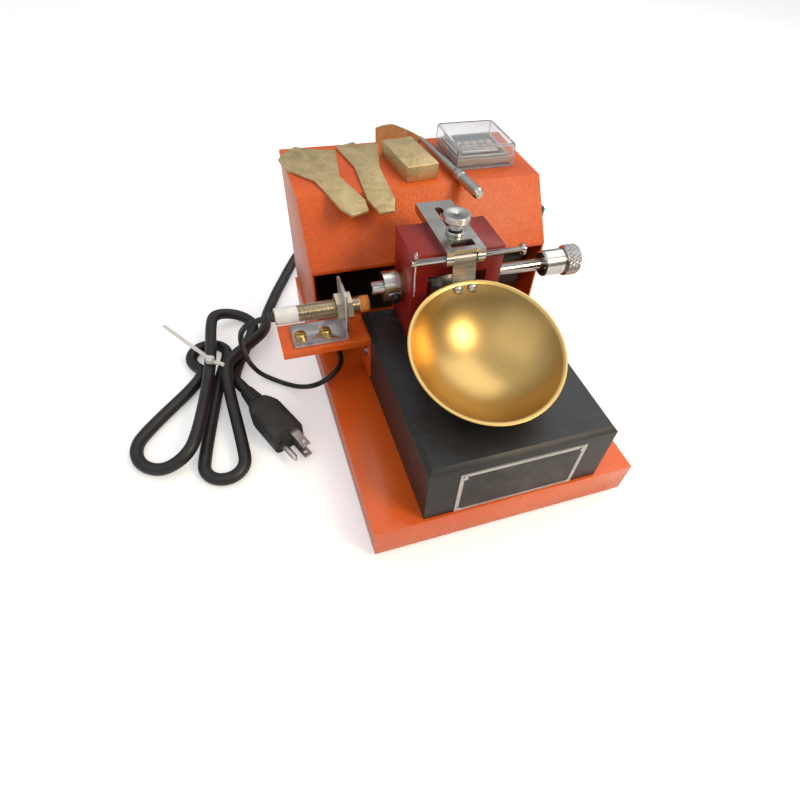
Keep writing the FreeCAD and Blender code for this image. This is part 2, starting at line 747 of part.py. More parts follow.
def cup_parts():
    # The cup is part of a ball: inner radius, wall and depth are the standard's.
    rim, tip = cup_frame()
    inner = float(s.cup_inner_r)
    outer = inner + float(s.cup_wall)
    depth = float(s.cup_depth)
    ball_up = inner - depth
    ball = Vector(0, 0, ball_up)
    rim_r = math.sqrt(outer ** 2 - ball_up ** 2)
    shell = Part.makeSphere(outer, ball).cut(Part.makeSphere(inner, ball))
    below = Part.makeBox(4 * outer, 4 * outer, 2 * outer, Vector(-2 * outer, -2 * outer, -2 * outer))
    shell = shell.common(below)

    # Directions at the back of the rim: out of the wall, and up along it.
    out = Vector(0, rim_r, -ball_up).normalize()
    up = Vector(0, ball_up, rim_r).normalize()
    lean = math.asin(ball_up / outer)
    down = float(s.cup_screw_down) / outer
    spots = []
    for side in (-1, 1):
        x = side * float(s.cup_screw_gap)
        angle = lean + down
        way = Vector(0, math.cos(angle), -math.sin(angle))
        spots.append((Vector(x, 0, ball_up), way))
    screw_r = float(s.cup_screw_r)
    gap = float(s.fit_gap)
    for start, way in spots:
        shell = shell.cut(Part.makeCylinder(screw_r + gap, outer + 5, start, way))
    where = Placement(rim, tip)
    shaped("cup", shell, where)

    # The strip follows the wall outside, then runs straight up to the barrel round the pin.
    thick = float(s.strip_thick)
    wide = float(s.strip_wide)
    lap = float(s.strip_lap) / outer

    def around(radius, angle):
        return Vector(-wide / 2, radius * math.cos(angle), ball_up - radius * math.sin(angle))

    pin = tip.inverted().multVec(Vector(float(work_x), float(pin_y), float(pin_z)) - rim)
    foot_in = around(outer, lean)
    foot_out = around(outer + thick, lean)
    rise = (pin - foot_in).dot(up)
    head_in = foot_in + up * rise
    head_out = foot_out + up * rise
    low_in = around(outer, lean + lap)
    low_out = around(outer + thick, lean + lap)
    edges = [
        Part.Arc(foot_in, around(outer, lean + lap / 2), low_in).toShape(),
        Part.LineSegment(low_in, low_out).toShape(),
        Part.Arc(low_out, around(outer + thick, lean + lap / 2), foot_out).toShape(),
        Part.LineSegment(foot_out, head_out).toShape(),
        Part.LineSegment(head_out, head_in).toShape(),
        Part.LineSegment(head_in, foot_in).toShape(),
    ]
    strip = Part.Face(Part.Wire(edges)).extrude(Vector(wide, 0, 0))
    barrel_wide = float(s.barrel_wide)
    middle = Vector(-barrel_wide / 2, pin.y, pin.z)
    along = Vector(1, 0, 0)
    reach = abs((pin - head_in).dot(out))
    web_r = max(float(s.barrel_r), reach)
    barrel = Part.makeCylinder(float(s.barrel_r), barrel_wide, middle, along)
    if web_r > float(s.barrel_r) - thick:
        web = Part.makeBox(wide, web_r, thick, Vector(-wide / 2, 0, -thick / 2))
        turn = Rotation(Vector(0, 1, 0), out)
        spot = head_in - Vector(head_in.x, 0, 0) - up * (thick / 2)
        web.Placement = Placement(spot, turn)
        barrel = barrel.fuse(web)
    hanger = strip.fuse(barrel)
    hanger = hanger.cut(Part.makeCylinder(float(s.pin_r) + gap, barrel_wide + 2, middle - along, along))
    for start, way in spots:
        hanger = hanger.cut(Part.makeCylinder(screw_r + gap, outer + 10, start, way))
    shaped("cup_hanger", hanger.removeSplitter(), where)

    # Pan-head screws from inside the cup, each with its nut behind the strip.
    head_r = float(s.cup_screw_head_r)
    screws = []
    for start, way in spots:
        inside = start + way * (inner - 1.9)
        head = Part.makeCylinder(head_r, 1.9 - 0.3, inside, way)
        shank = Part.makeCylinder(screw_r, outer + thick + 3.6 - inner + 1,
                                  start + way * (inner - 1), way)
        nut_start = start + way * (outer + thick + 0.1)
        corner = Vector(1, 0, 0)
        ring = [Rotation(way, 60 * n).multVec(corner * 3.1) + nut_start for n in range(7)]
        nut = Part.Face(Part.makePolygon(ring)).extrude(way * 2.4)
        screws.append(head.fuse([shank, nut]).removeSplitter())
    shaped("cup_screws", Part.makeCompound(screws), where)


CUP_DOWN = 4.3
CUP_UP = -5.2
SHAFT_DOWN = -135.0
SHAFT_UP = 163.0
CAM_STEPS = 12


def nose_at(lift):
    # Centre of the follower's nose when the cup has turned by lift degrees about the pin.
    pin = Vector(0, float(pin_y), float(pin_z))
    start = Vector(0, float(nose_y), float(shaft_z))
    return pin + Rotation(Vector(1, 0, 0), lift).multVec(start - pin)


nose_y = shaft_y - s.cam_rest_r - s.nose_r - s.cam_gap


def cam_parts():
    # The cam's edge is the path of the nose seen from the turning shaft, moved in by the nose's radius.
    centre = Vector(0, float(shaft_y), float(shaft_z))
    reach = float(s.nose_r) + float(s.cam_gap)
    ratio = (CUP_UP - CUP_DOWN) / (SHAFT_UP - SHAFT_DOWN)
    points = []
    for n in range(CAM_STEPS + 1):
        turn = SHAFT_DOWN + (SHAFT_UP - SHAFT_DOWN) * n / CAM_STEPS
        spot = nose_at(ratio * turn) - centre
        seen = Rotation(Vector(1, 0, 0), -turn).multVec(spot)
        points.append(seen * ((seen.Length - reach) / seen.Length))
    rise = Part.BSplineCurve()
    rise.interpolate(points)
    low, high = points[0], points[-1]
    back = Rotation(Vector(1, 0, 0), -22).multVec(high)
    step = back * (low.Length / high.Length)
    middle = Rotation(Vector(1, 0, 0), 0.5 * math.degrees(step.getAngle(low))).multVec(low)
    edges = [
        rise.toShape(),
        Part.LineSegment(high, back).toShape(),
        Part.LineSegment(back, step).toShape(),
        Part.Arc(step, middle, low).toShape(),
    ]
    wide = float(s.cam_wide)
    disc = Part.Face(Part.Wire(edges)).extrude(Vector(wide, 0, 0))
    hub_long = float(s.cam_hub_long)
    hub = Part.makeCylinder(float(s.cam_hub_r), hub_long, Vector(-hub_long, 0, 0), Vector(1, 0, 0))
    bore = Part.makeCylinder(float(s.shaft_r) + float(s.fit_gap), wide + hub_long + 2,
                             Vector(-hub_long - 1, 0, 0),
                             Vector(1, 0, 0))
    tapped = Part.makeCylinder(1.5 + float(s.fit_gap), 20, Vector(-hub_long / 2, 0, 0), Vector(0, 0, 1))
    spot = Vector(float(work_x) - wide / 2, float(shaft_y), float(shaft_z))
    shaped("cam", disc.fuse(hub).cut(bore).cut(tapped), Placement(spot, Rotation()))


def follower_part():
    # An arm from the barrel, down past the bracket's front and back into its window, with a round nose.
    pin = Vector(0, float(pin_y), float(pin_z))
    nose = nose_at(0)
    thick = float(s.arm_thick)
    r = float(s.nose_r)
    knee = Vector(0, pin.y + 1.9, float(bracket_top) - float(s.bridge_thick) - 3)
    wide = float(s.strip_wide) - 5
    arm = Part.makeCylinder(r, wide, nose, Vector(1, 0, 0))
    start = pin + Vector(0, 0.6, -float(s.barrel_r) - thick / 2 + 0.4)
    for a, b in ((start, knee), (knee, nose)):
        way = b - a
        bar = Part.makeBox(wide, thick, way.Length, Vector(0, -thick / 2, 0))
        bar.Placement = Placement(a, Rotation(Vector(0, 0, 1), way))
        arm = arm.fuse(bar)
        arm = arm.fuse(Part.makeCylinder(thick / 2, wide, b, Vector(1, 0, 0)))
    cap = Part.makeCylinder(thick / 2 + 0.1, wide, start, Vector(1, 0, 0))
    arm = arm.fuse(cap)
    clear = Part.makeCylinder(float(s.barrel_r), wide + 2, pin - Vector(1, 0, 0), Vector(1, 0, 0))
    arm = arm.cut(clear).removeSplitter()
    shaped("cam_follower", arm, Placement(Vector(float(work_x) - wide / 2, 0, 0), Rotation()))


def shaft_parts():
    left = work_x - s.shaft_left
    right = work_x + s.shaft_right
    centre = (shaft_y, shaft_z)
    keep(rod("X", (left, right - s.knob_long + 12), centre, s.shaft_r), "camshaft")

    collar_left = left + s.collar_from_end
    collar_span = (collar_left, collar_left + s.collar_wide)
    ring = rod("X", collar_span, centre, s.collar_r)
    bore = rod("X", (left, collar_left + 30), centre, s.shaft_r + s.fit_gap)
    screw_x = collar_left + s.collar_wide * 0.62
    turn = Rotation(Vector(1, 0, 0), 104)
    spot = Vector(float(screw_x), float(shaft_y), float(shaft_z))
    hole = doc.addObject("Part::Cylinder", "Hole")
    hole.Placement = Placement(Vector(), turn)
    bind(hole, "Radius", s.socket_screw_r + s.fit_gap)
    bind(hole, "Height", s.collar_r + 5)
    place(hole, screw_x, shaft_y, shaft_z)
    keep(cut(ring, bore, hole), "shaft_collar")

    # Set screws: the big one in the collar is what the sensor counts, the small one locks the cam.
    start = float(s.shaft_r) + 0.1
    big = Part.makeCylinder(float(s.socket_screw_r), float(s.collar_r) + 3.4 - start,
                            Vector(0, 0, start))
    corner = [Rotation(Vector(0, 0, 1), 60 * n).multVec(Vector(1.6, 0, 0)) for n in range(7)]
    socket = Part.Face(Part.makePolygon(corner)).extrude(Vector(0, 0, 3))
    socket.translate(Vector(0, 0, float(s.collar_r) + 3.4 - 2.4))
    big = big.cut(socket)
    big.Placement = Placement(spot, turn)
    small_x = float(work_x) - float(s.cam_wide) / 2 - float(s.cam_hub_long) / 2
    small = Part.makeCylinder(1.5, float(s.cam_hub_r) - start - 0.4, Vector(0, 0, start))
    small.Placement = Placement(Vector(small_x, float(shaft_y), float(shaft_z)), Rotation())
    shaped("set_screws", Part.makeCompound([big, small]))

    r = s.knob_hub_r
    grip = s.knob_grip_r
    hub = s.knob_hub_long
    bore_r = s.shaft_r + s.fit_gap
    bore_deep = Size("12", 12.0)
    profile = [
        (bore_r, ZERO),
        (r - 0.6, ZERO),
        (r, Size("0.6", 0.6)),
        (r, hub - 0.8),
        (r - 1.2, hub - 0.8),
        (r - 1.2, hub),
        (grip - 0.8, hub),
        (grip, hub + 0.8),
        (grip, s.knob_long - 1),
        (grip - 1, s.knob_long),
        (ZERO, s.knob_long),
        (ZERO, bore_deep),
        (bore_r, bore_deep),
    ]
    keep(turned("X", right - s.knob_long, centre, profile), "hand_knob")


pulley_right = bracket_right - s.cheek_thick - s.pulley_from_cheek
pulley_left = pulley_right - s.pulley_wide
motor_z = tray_top + s.motor_up
motor_right = house_half - s.house_wall - s.motor_wall_gap
motor_left = motor_right - s.motor_long
gearbox_left = motor_left - s.gearbox_long


def pulley(centre, bore):
    body = fuse(
        rod("X", (pulley_left, pulley_right), centre, s.pulley_r),
        rod("X", (pulley_left, pulley_left + s.pulley_flange), centre, s.pulley_flange_r),
        rod("X", (pulley_right - s.pulley_flange, pulley_right), centre, s.pulley_flange_r),
    )
    return cut(body, rod("X", (pulley_left - 1, pulley_right + 1), centre, bore))


def drive_parts():
    # A flat belt joins a pulley on the camshaft, inside the bracket, to one on the gear motor.
    motor = (s.motor_y, motor_z)
    keep(pulley((shaft_y, shaft_z), s.shaft_r + s.fit_gap), "driven_pulley")
    tail = rod("X", (pulley_left - 1, gearbox_left + s.gearbox_long / 2), motor, s.motor_shaft_r)
    small = fuse(pulley(motor, s.motor_shaft_r - 0.5), tail)
    keep(small, "motor_pulley")

    front = Vector(0, float(shaft_y), float(shaft_z))
    back = Vector(0, float(s.motor_y), float(motor_z))
    way = (back - front).normalize()
    side = Vector(0, -way.z, way.y)
    inner = float(s.pulley_r) + float(s.belt_gap)

    def loop(r):
        edges = [
            Part.LineSegment(front + side * r, back + side * r).toShape(),
            Part.Arc(back + side * r, back + way * r, back - side * r).toShape(),
            Part.LineSegment(back - side * r, front - side * r).toShape(),
            Part.Arc(front - side * r, front - way * r, front + side * r).toShape(),
        ]
        return Part.Wire(edges)

    band = Part.Face(loop(inner + float(s.belt_thick))).cut(Part.Face(loop(inner)))
    wide = float(s.belt_wide)
    middle = (float(pulley_left) + float(pulley_right)) / 2
    shaped("drive_belt", band.extrude(Vector(wide, 0, 0)),
           Placement(Vector(middle - wide / 2, 0, 0), Rotation()))

    can = turned("X", motor_left, motor, [
        (ZERO, ZERO),
        (s.motor_r, ZERO),
        (s.motor_r, s.motor_long - 2),
        (s.motor_r - 2, s.motor_long),
        (ZERO, s.motor_long),
    ])
    keep(can, "gear_motor")
    bore = rod("X", (gearbox_left - 1, gearbox_left + s.gearbox_long / 2 + 1), motor,
               s.motor_shaft_r + s.fit_gap)
    holes = [rod("X", (gearbox_left - 1, gearbox_left + 7), spot,
                 MOTOR_SCREW_R + s.fit_gap) for spot in motor_screw_spots()]
    keep(cut(rod("X", (gearbox_left, motor_left), motor, s.gearbox_r), bore, *holes), "motor_gearbox")

    half = s.motor_plate_wide / 2
    face = gearbox_left - s.motor_plate
    upright = box((face, gearbox_left), (s.motor_y - half, s.motor_y + half),
                  (tray_top, motor_z + s.gearbox_r))
    foot = box((face, gearbox_left + 30), (s.motor_y - half, s.motor_y + half),
               (tray_top, tray_top + s.motor_plate))
    holes = [rod("X", (face - 1, gearbox_left + 1), spot,
                 MOTOR_SCREW_R + 0.2) for spot in motor_screw_spots()]
    holes.append(rod("X", (face - 1, gearbox_left + 1), motor, s.pulley_r + 2))
    keep(cut(fuse(upright, foot), *holes), "motor_bracket")
    screws = []
    for spot in motor_screw_spots():
        head = rod("X", (face - 2.2, face), spot, MOTOR_SCREW_R * 1.8)
        screws.append(fuse(head, rod("X", (face - 1, gearbox_left + 6), spot, MOTOR_SCREW_R)))
    keep(group(*screws), "motor_screws")


MOTOR_SCREW_R = 1.5


def motor_screw_spots():
    r = s.gearbox_r - 5.5
    turns = [(math.cos(a), math.sin(a)) for a in (math.radians(45), math.radians(165),
                                                  math.radians(285))]
    return [(s.motor_y + r * c, motor_z + r * n) for c, n in turns]


SHELF_SCREW_R = 2.0
SHELF_SCREW_BITE = 10.0
shelf_y = block_front + s.shelf_front
shelf_z = tray_top + s.shelf_top


def shelf_screw_spots():
    return [(shelf_y + 8, shelf_z - 16), (shelf_y + 19, shelf_z - 16)]


def shelf_parts():
    # A folded shelf on the block's left side carries the sensor on its own angle.
    left = block_left - s.shelf_long
    back = shelf_y + s.shelf_deep
    flat = box((left, block_left), (shelf_y, back), (shelf_z - s.shelf_thick, shelf_z))
    lip = box((left, block_left), (shelf_y, shelf_y + s.shelf_thick), (shelf_z - s.shelf_lip, shelf_z))
    flange_x = (block_left - s.shelf_thick, block_left)
    flange = box(flange_x, (shelf_y + 1.5, block_back - 0.5), (shelf_z - s.flange_high, shelf_z))
    foot_spots = foot_screw_spots()
    holes = [rod("Z", (shelf_z - 5, shelf_z + 1), spot,
                 SHELF_SCREW_R + s.fit_gap) for spot in foot_spots]
    through = (block_left - 5, block_left + 1)
    for y, z in shelf_screw_spots():
        slot = box(through, (y - SHELF_SCREW_R - 0.2, y + SHELF_SCREW_R + 0.2), (z - 4, z + 4))
        holes.append(slot)
    keep(cut(fuse(flat, lip, flange), *holes), "sensor_shelf")
    screws = []
    face = block_left - s.shelf_thick
    for spot in shelf_screw_spots():
        head = rod("X", (face - 2.2, face), spot, SHELF_SCREW_R * 2)
        screws.append(fuse(head,
                           rod("X", (face - 1, block_left + SHELF_SCREW_BITE), spot, SHELF_SCREW_R)))
    keep(group(*screws), "shelf_screws")


foot_right = block_left - s.foot_from_block
foot_left = foot_right - s.foot_long
foot_front = shelf_y + 3
sensor_y = foot_front + s.foot_deep / 2
sensor_z = shelf_z + s.foot_plate + s.sensor_up


def foot_screw_spots():
    y = foot_front + s.foot_deep * 0.42
    return [(foot_left + 5.5, y), (foot_left + 23, y)]


def sensor_parts():
    foot_z = (shelf_z, shelf_z + s.foot_plate)
    foot_y = (foot_front, foot_front + s.foot_deep)
    foot = box((foot_left, foot_right), foot_y, foot_z)
    leg = box((foot_right - s.foot_plate, foot_right), foot_y, (shelf_z, shelf_z + s.leg_high))
    holes = [rod("Z", (shelf_z - 1, shelf_z + 5), spot,
                 SHELF_SCREW_R + 0.2) for spot in foot_screw_spots()]
    centre = (sensor_y, sensor_z)
    holes.append(rod("X", (foot_right - 5, foot_right + 1), centre, s.sensor_r + 0.1))
    keep(cut(fuse(foot, leg), *holes), "sensor_bracket")
    screws = []
    top = shelf_z + s.foot_plate
    for spot in foot_screw_spots():
        head = rod("Z", (top, top + 2.4), spot, SHELF_SCREW_R * 2.1)
        screws.append(fuse(head, rod("Z", (shelf_z - s.shelf_thick - 3, top + 1), spot, SHELF_SCREW_R)))
    keep(group(*screws), "sensor_bracket_screws")

    # A threaded barrel with a smooth label end, a cable cap and a sensing tip.
    tip_end = block_left + s.sensor_tip_past
    tip_start = tip_end - s.sensor_tip_long
    back = tip_start - s.sensor_long
    thread_start = back + s.sensor_label_long
    smooth = rod("X", (back, thread_start), centre, s.sensor_r - 0.4)
    thread = rod("X", (thread_start, tip_start), centre, s.sensor_r)
    cap = rod("X", (back - s.cap_long, back), centre, s.cable_r + 1.2)
    keep(fuse(smooth, thread, cap), "sensor_body")
    keep(rod("X", (tip_start, tip_end), centre, s.sensor_r - 0.4), "sensor_tip")
    nuts = []
    for start in (foot_right - s.foot_plate - s.nut_thick, foot_right):
        corner = s.nut_flats_r * (2 / math.sqrt(3))
        ring = []
        for n in range(6):
            angle = math.radians(60 * n + 12)
            ring.append((sensor_y + corner * math.cos(angle), sensor_z + corner * math.sin(angle)))
        nuts.append(slab("YZ", ring, (start, start + s.nut_thick),
                         [(sensor_y, sensor_z, s.sensor_r + s.fit_gap)]))
    keep(group(*nuts), "sensor_nuts")
    return back - s.cap_long


def counter_parts():
    # A preset counter in the housing's top, ten keys in a well, and a clear lift-off dust cover.
    x, y = s.counter_x, s.counter_y
    low = house_top - s.counter_sink
    top = house_top + s.counter_rise
    core = box((x - s.counter_wide / 2, x + s.counter_wide / 2),
               (y - s.counter_deep / 2, y + s.counter_deep / 2),
               (low, top))
    bezel = box((x - s.bezel_wide / 2, x + s.bezel_wide / 2),
                (y - s.counter_deep / 2 - 2, y + s.counter_deep / 2 + 2),
                (house_top, house_top + s.bezel_thick))
    wells = []
    keys = []
    for column in range(5):
        for line in range(2):
            cx = x + s.key_pitch_wide * (column - 2)
            cy = y - s.key_pitch_deep * (0.5 - line) - 2
            half_x = s.key_wide / 2
            half_y = s.key_deep / 2
            side = 0.25
            wells.append(box((cx - half_x - side, cx + half_x + side),
                             (cy - half_y - side, cy + half_y + side),
                             (top - s.key_well - 1.2, top + 1)))
            keys.append(box((cx - half_x, cx + half_x), (cy - half_y, cy + half_y),
                            (top - s.key_well, top - s.key_well + s.key_high)))
    keep(cut(fuse(core, bezel), *wells), "counter_body")
    keep(group(*keys), "counter_keys")
    half_x = s.cover_wide / 2
    half_y = s.cover_deep / 2
    floor = house_top + s.lift_gap
    roof = floor + s.cover_high
    wall = s.cover_wall
    outer = chamfered(
        slab("XY", [(x - half_x, y - half_y), (x + half_x, y - half_y),
                    (x + half_x, y + half_y), (x - half_x, y + half_y)],
             (floor, roof)),
        s.cover_wall * 0.8,
        lambda p: p.z > float(s.cover_high) - 0.01,
    )
    inner = box((x - half_x + wall, x + half_x - wall), (y - half_y + wall, y + half_y - wall),
                (floor - 1, roof - wall))
    keep(cut(outer, inner), "counter_cover")


def switch_parts():
    # A rocker switch in the right wall.
    y, z = s.switch_y, s.switch_z
    wall = house_half
    half_y = s.switch_wide / 2
    half_z = s.switch_high / 2
    bezel = box((wall, wall + s.switch_bezel), (y - half_y - 1, y + half_y + 1),
                (z - half_z - 1, z + half_z + 1))
    core = box((wall - s.switch_sink, wall + 1), (y - half_y + 0.8, y + half_y - 0.8),
               (z - half_z + 0.8, z + half_z - 0.8))
    inner_y = half_y - 2
    inner_z = half_z - 2.2
    well = box((wall - 6, wall + 9), (y - inner_y, y + inner_y), (z - inner_z, z + inner_z))
    keep(cut(fuse(bezel, core), well), "switch_body")

    # The rocker turns on a line just inside the wall; its face is two flats that meet at a low ridge.
    pivot_x = wall - 1
    side_y = inner_y - 0.4
    reach = inner_z - 0.9
    swell = s.rocker_swell
    points = [
        (pivot_x - 2, z - reach + 1),
        (pivot_x + swell - 1.0, z - reach),
        (pivot_x + swell + 0.6, z),
        (pivot_x + swell + 3.4, z + reach),
        (pivot_x - 2, z + reach - 1),
    ]
    keep(slab("XZ", points, (y - side_y, y + side_y)), "switch_rocker")


def inner_parts():
    low = tray_top
    keep(box((-house_half + 14, -house_half + 14 + s.board_wide),
             (house_back - 14 - s.board_deep, house_back - 14),
             (low, low + s.board_high)), "control_board")


def gland_part():
    # A nut inside the panel, a collar outside it and a tapered boot round the cord.
    start = house_back - s.house_wall - 3
    r = s.gland_r
    outside = s.house_wall + 3
    boot_end = outside + s.boot_long
    bore = s.cord_r + s.fit_gap
    profile = [
        (bore, ZERO),
        (r + 1, ZERO),
        (r + 1, Size("3", 3.0)),
        (r - 2, Size("3", 3.0)),
        (r - 2, outside),
        (r, outside),
        (r, outside + 5),
        (r - 1.5, outside + 7),
        (s.cord_r + 1.4, boot_end - 1),
        (s.cord_r + 1.0, boot_end),
        (bore, boot_end),
    ]
    keep(turned("Y", start, (s.gland_x, tray_top + s.gland_up), profile), "cord_gland")
    return house_back + s.boot_long


def rounded_path(points):
    # Straight runs joined by tangent arcs; each arc's tangent is a share of its shorter run.
    edges = []
    radii = []
    last = points[0]
    for before, corner, after in zip(points, points[1:], points[2:]):
        into = corner - before
        away = after - corner
        turn = into.getAngle(away)
        step = 0.45 * min(into.Length, away.Length)
        into.normalize()
        away.normalize()
        start = corner - into * step
        end = corner + away * step
        radius = step / math.tan(turn / 2)
        radii.append(radius)
        sag = radius * (1 / math.cos(turn / 2) - 1)
        middle = corner + (away - into).normalize() * sag
        if (start - last).Length > 1e-6:
            edges.append(Part.LineSegment(last, start).toShape())
        edges.append(Part.Arc(start, middle, end).toShape())
        last = end
    edges.append(Part.LineSegment(last, points[-1]).toShape())
    return Part.Wire(edges), radii


def tube(label, points, radius):
    path, radii = rounded_path(points)
    way = points[1] - points[0]
    ring = Part.Wire(Part.Circle(points[0], way, radius).toShape())
    shell = path.makePipeShell([ring], True, False)
    shape = shell if shell.ShapeType == "Solid" else Part.Solid(shell)
    wanted = math.pi * radius ** 2 * path.Length
    print("%s: length %.1f, least radius %.1f, volume %.4f of what is due"
          % (label, path.Length, min(radii), shape.Volume / wanted))
    shaped(label, shape)
    return path


def least_gap(path, diameter, step=3.0):
    # Least gap of a tube to itself, between points that lie further apart along it than a bend.
    count = int(path.Length / step)
    dots = path.discretize(Number=count)
    least = 1e9
    apart = int(3.2 * diameter / step)
    for i in range(0, len(dots)):
        for j in range(i + apart, len(dots)):
            least = min(least, (dots[i] - dots[j]).Length)
    return least - diameter


# Routes of the free cords, chosen by hand
MAINS_ROUTE = [
    (5, 172, 43.6), (-0.2, 193.1, 40.9), (-13, 210.1, 35.6), (-31.2, 220.2, 28.6), (-55.2, 222, 19.9),
    (-80, 210.6, 11.5), (-96.1, 187.5, 6.4), (-104, 173, 5), (-112, 158, 4.8),
]
HANK_START = (-122, 135, 4.8)
SENSOR_ROUTE = [
    (-138.4, 3.7, 92.9), (-146.4, 7.8, 84.3), (-149, 18, 68), (-150, 31, 50), (-150, 43, 33),
    (-149, 49, 17), (-143, 47, 5.5), (-131, 38, 2.6), (-119, 27, 4), (-110, 13, 14),
    (-101.3, -0.6, 28.1), (-91.4, -3.2, 36.3), (-81.4, 3.8, 39.6), (-78, 19, 37.5), (-79, 34.6, 36.2),
]
SENSOR_END = (-80, 50, 36)

# The hank: the waist, the lanes across it, and the loops at its two ends
WAIST = (-174.5, 52.0)
WAIST_HEADING = 240.0
LANE = 10.4
LOW_Z = 6.3
HIGH_Z = 16.0


def lane_point(lane, z, along=0.0):
    # A point at the waist, a number of lanes to its left or right and some way along the bundle.
    heading = math.radians(WAIST_HEADING)
    forward = Vector(math.cos(heading), math.sin(heading), 0)
    side = Vector(-math.sin(heading), math.cos(heading), 0)
    spot = Vector(WAIST[0], WAIST[1], z) + side * (lane * LANE) + forward * along
    return spot


def loop_points(heading, reach, radius, first_side, heights):
    # The far end of one loop: points spaced round a circle, from one side of the loop to the other.
    angle = math.radians(heading)
    forward = Vector(math.cos(angle), math.sin(angle), 0)
    side = Vector(-math.sin(angle), math.cos(angle), 0)
    centre = Vector(WAIST[0], WAIST[1], 0) + forward * (reach - radius)
    points = []
    count = len(heights)
    for n, z in enumerate(heights):
        turn = math.radians(-108 + 216 * n / (count - 1)) * first_side
        spoke = forward * (radius * math.cos(turn)) + side * (radius * math.sin(turn))
        points.append(centre + spoke + Vector(0, 0, z))
    return points


LOOPS = [
    # heading, reach, radius, side it starts on, heights of its points
    (267, 106, 15.5, -1, [8.5, 5.6, 4.8, 4.8, 4.8, 4.8]),
    (104, 44, 16, 1, [4.8, 4.8, 4.8, 4.8, 4.8, 4.8]),
    (236, 100, 24, 1, [4.8, 4.8, 4.8, 5.6, 11.8, 16.6]),
    (74, 80, 18, -1, [16.0, 14.0, 9.0, 5.0, 4.8, 4.8]),
]
LANES = [(0.5, HIGH_Z), (0, LOW_Z), (-1, LOW_Z), (-0.5, HIGH_Z), (1, LOW_Z)]
CLIMB = [(-130, 101, 8.0), (-139.5, 81, 15.0)]
PLUG_REAR = (-155.5, 24.0, 10.8)
PLUG_HEADING = 293.0


def hank_points():
    # Up over the loops, through the waist, round a loop, back through the next lane, and so on.
    points = [Vector(*p) for p in CLIMB]
    points += [lane_point(0.75, 17.0, -16), lane_point(*LANES[0])]
    for loop, lane in zip(LOOPS, LANES[1:]):
        points += loop_points(*loop)
        points.append(lane_point(*lane))
    return points


def cord_parts(gland_end, cap_end):
    gland = Vector(float(s.gland_x), float(gland_end), float(tray_top + s.gland_up))
    start = Vector(*HANK_START)
    cord_r = float(s.cord_r)
    route = [gland] + [Vector(*p) for p in MAINS_ROUTE] + [start]
    tube("mains_cord", route, cord_r)
    way = (start - route[-2]).normalize()
    heading = math.radians(PLUG_HEADING)
    plug_way = Vector(math.cos(heading), math.sin(heading), 0)
    rear = Vector(*PLUG_REAR)
    hank = [start, start + way * 14] + hank_points() + [rear - plug_way * 12 - Vector(0, 0, 1), rear]
    path = tube("mains_hank", hank, cord_r)
    print("mains_hank: least gap to itself %.2f" % least_gap(path, 2 * cord_r))
    cap = Vector(float(cap_end), float(sensor_y), float(sensor_z))
    cable = [cap] + [Vector(*p) for p in SENSOR_ROUTE] + [Vector(*SENSOR_END)]
    tube("sensor_cable", cable, float(s.cable_r))
    end = Vector(*SENSOR_END)
    grommet_r = float(s.cable_r) + 2.4
    block = Part.makeCylinder(grommet_r, 7, end, Vector(0, 1, 0))
    foot_low = float(tray_top)
    foot = Part.makeBox(2 * grommet_r, 7, end.z - foot_low, Vector(end.x - grommet_r, end.y, foot_low))
    shaped("cable_grommet", block.fuse(foot).removeSplitter())
    tie_part()
    plug_parts(rear, plug_way)


def tie_part():
    # A thin band drawn round the waist, its head on top and its tail left long.
    heading = math.radians(WAIST_HEADING)
    forward = Vector(math.cos(heading), math.sin(heading), 0)
    side = Vector(-math.sin(heading), math.cos(heading), 0)
    ring = [lane_point(lane, z) for lane, z in (LANES[2], LANES[4], LANES[0], LANES[3])]
    ring.append(ring[0])
    outline = Part.makePolygon(ring)
    inner = outline.makeOffset2D(float(s.cord_r) + 0.4)
    outer = outline.makeOffset2D(float(s.cord_r) + 1.5)
    wide = 3.6
    band = Part.Face(outer).cut(Part.Face(inner)).extrude(forward * wide)
    band.translate(forward * (-wide / 2))
    top = HIGH_Z + float(s.cord_r) + 1.0
    spot = lane_point(-0.4, top)
    head = Part.makeBox(7, 6, 4.4, Vector(-3.5, -3, 0))
    head.Placement = Placement(spot, Rotation(Vector(0, 0, 1), WAIST_HEADING))
    tail_end = Vector(-215, 121, top - 9)
    tail_start = spot + Vector(0, 0, 2.4)
    way = tail_end - tail_start
    tail = Part.makeBox(way.Length, 3.4, 1.1, Vector(0, -1.7, 0))
    flat = Rotation(Vector(0, 0, 1), math.degrees(math.atan2(way.y, way.x)))
    dip = Rotation(Vector(0, 1, 0), -math.degrees(math.asin(way.z / way.Length)))
    tail.Placement = Placement(tail_start, flat.multiply(dip))
    shaped("cable_tie", band.fuse([head, tail]).removeSplitter())


PLUG_LONG = 42.0
PLUG_WIDE = 25.0
PLUG_THICK = 21.0
PLUG_BOOT = 20.0
BLADE_LONG = 18.0


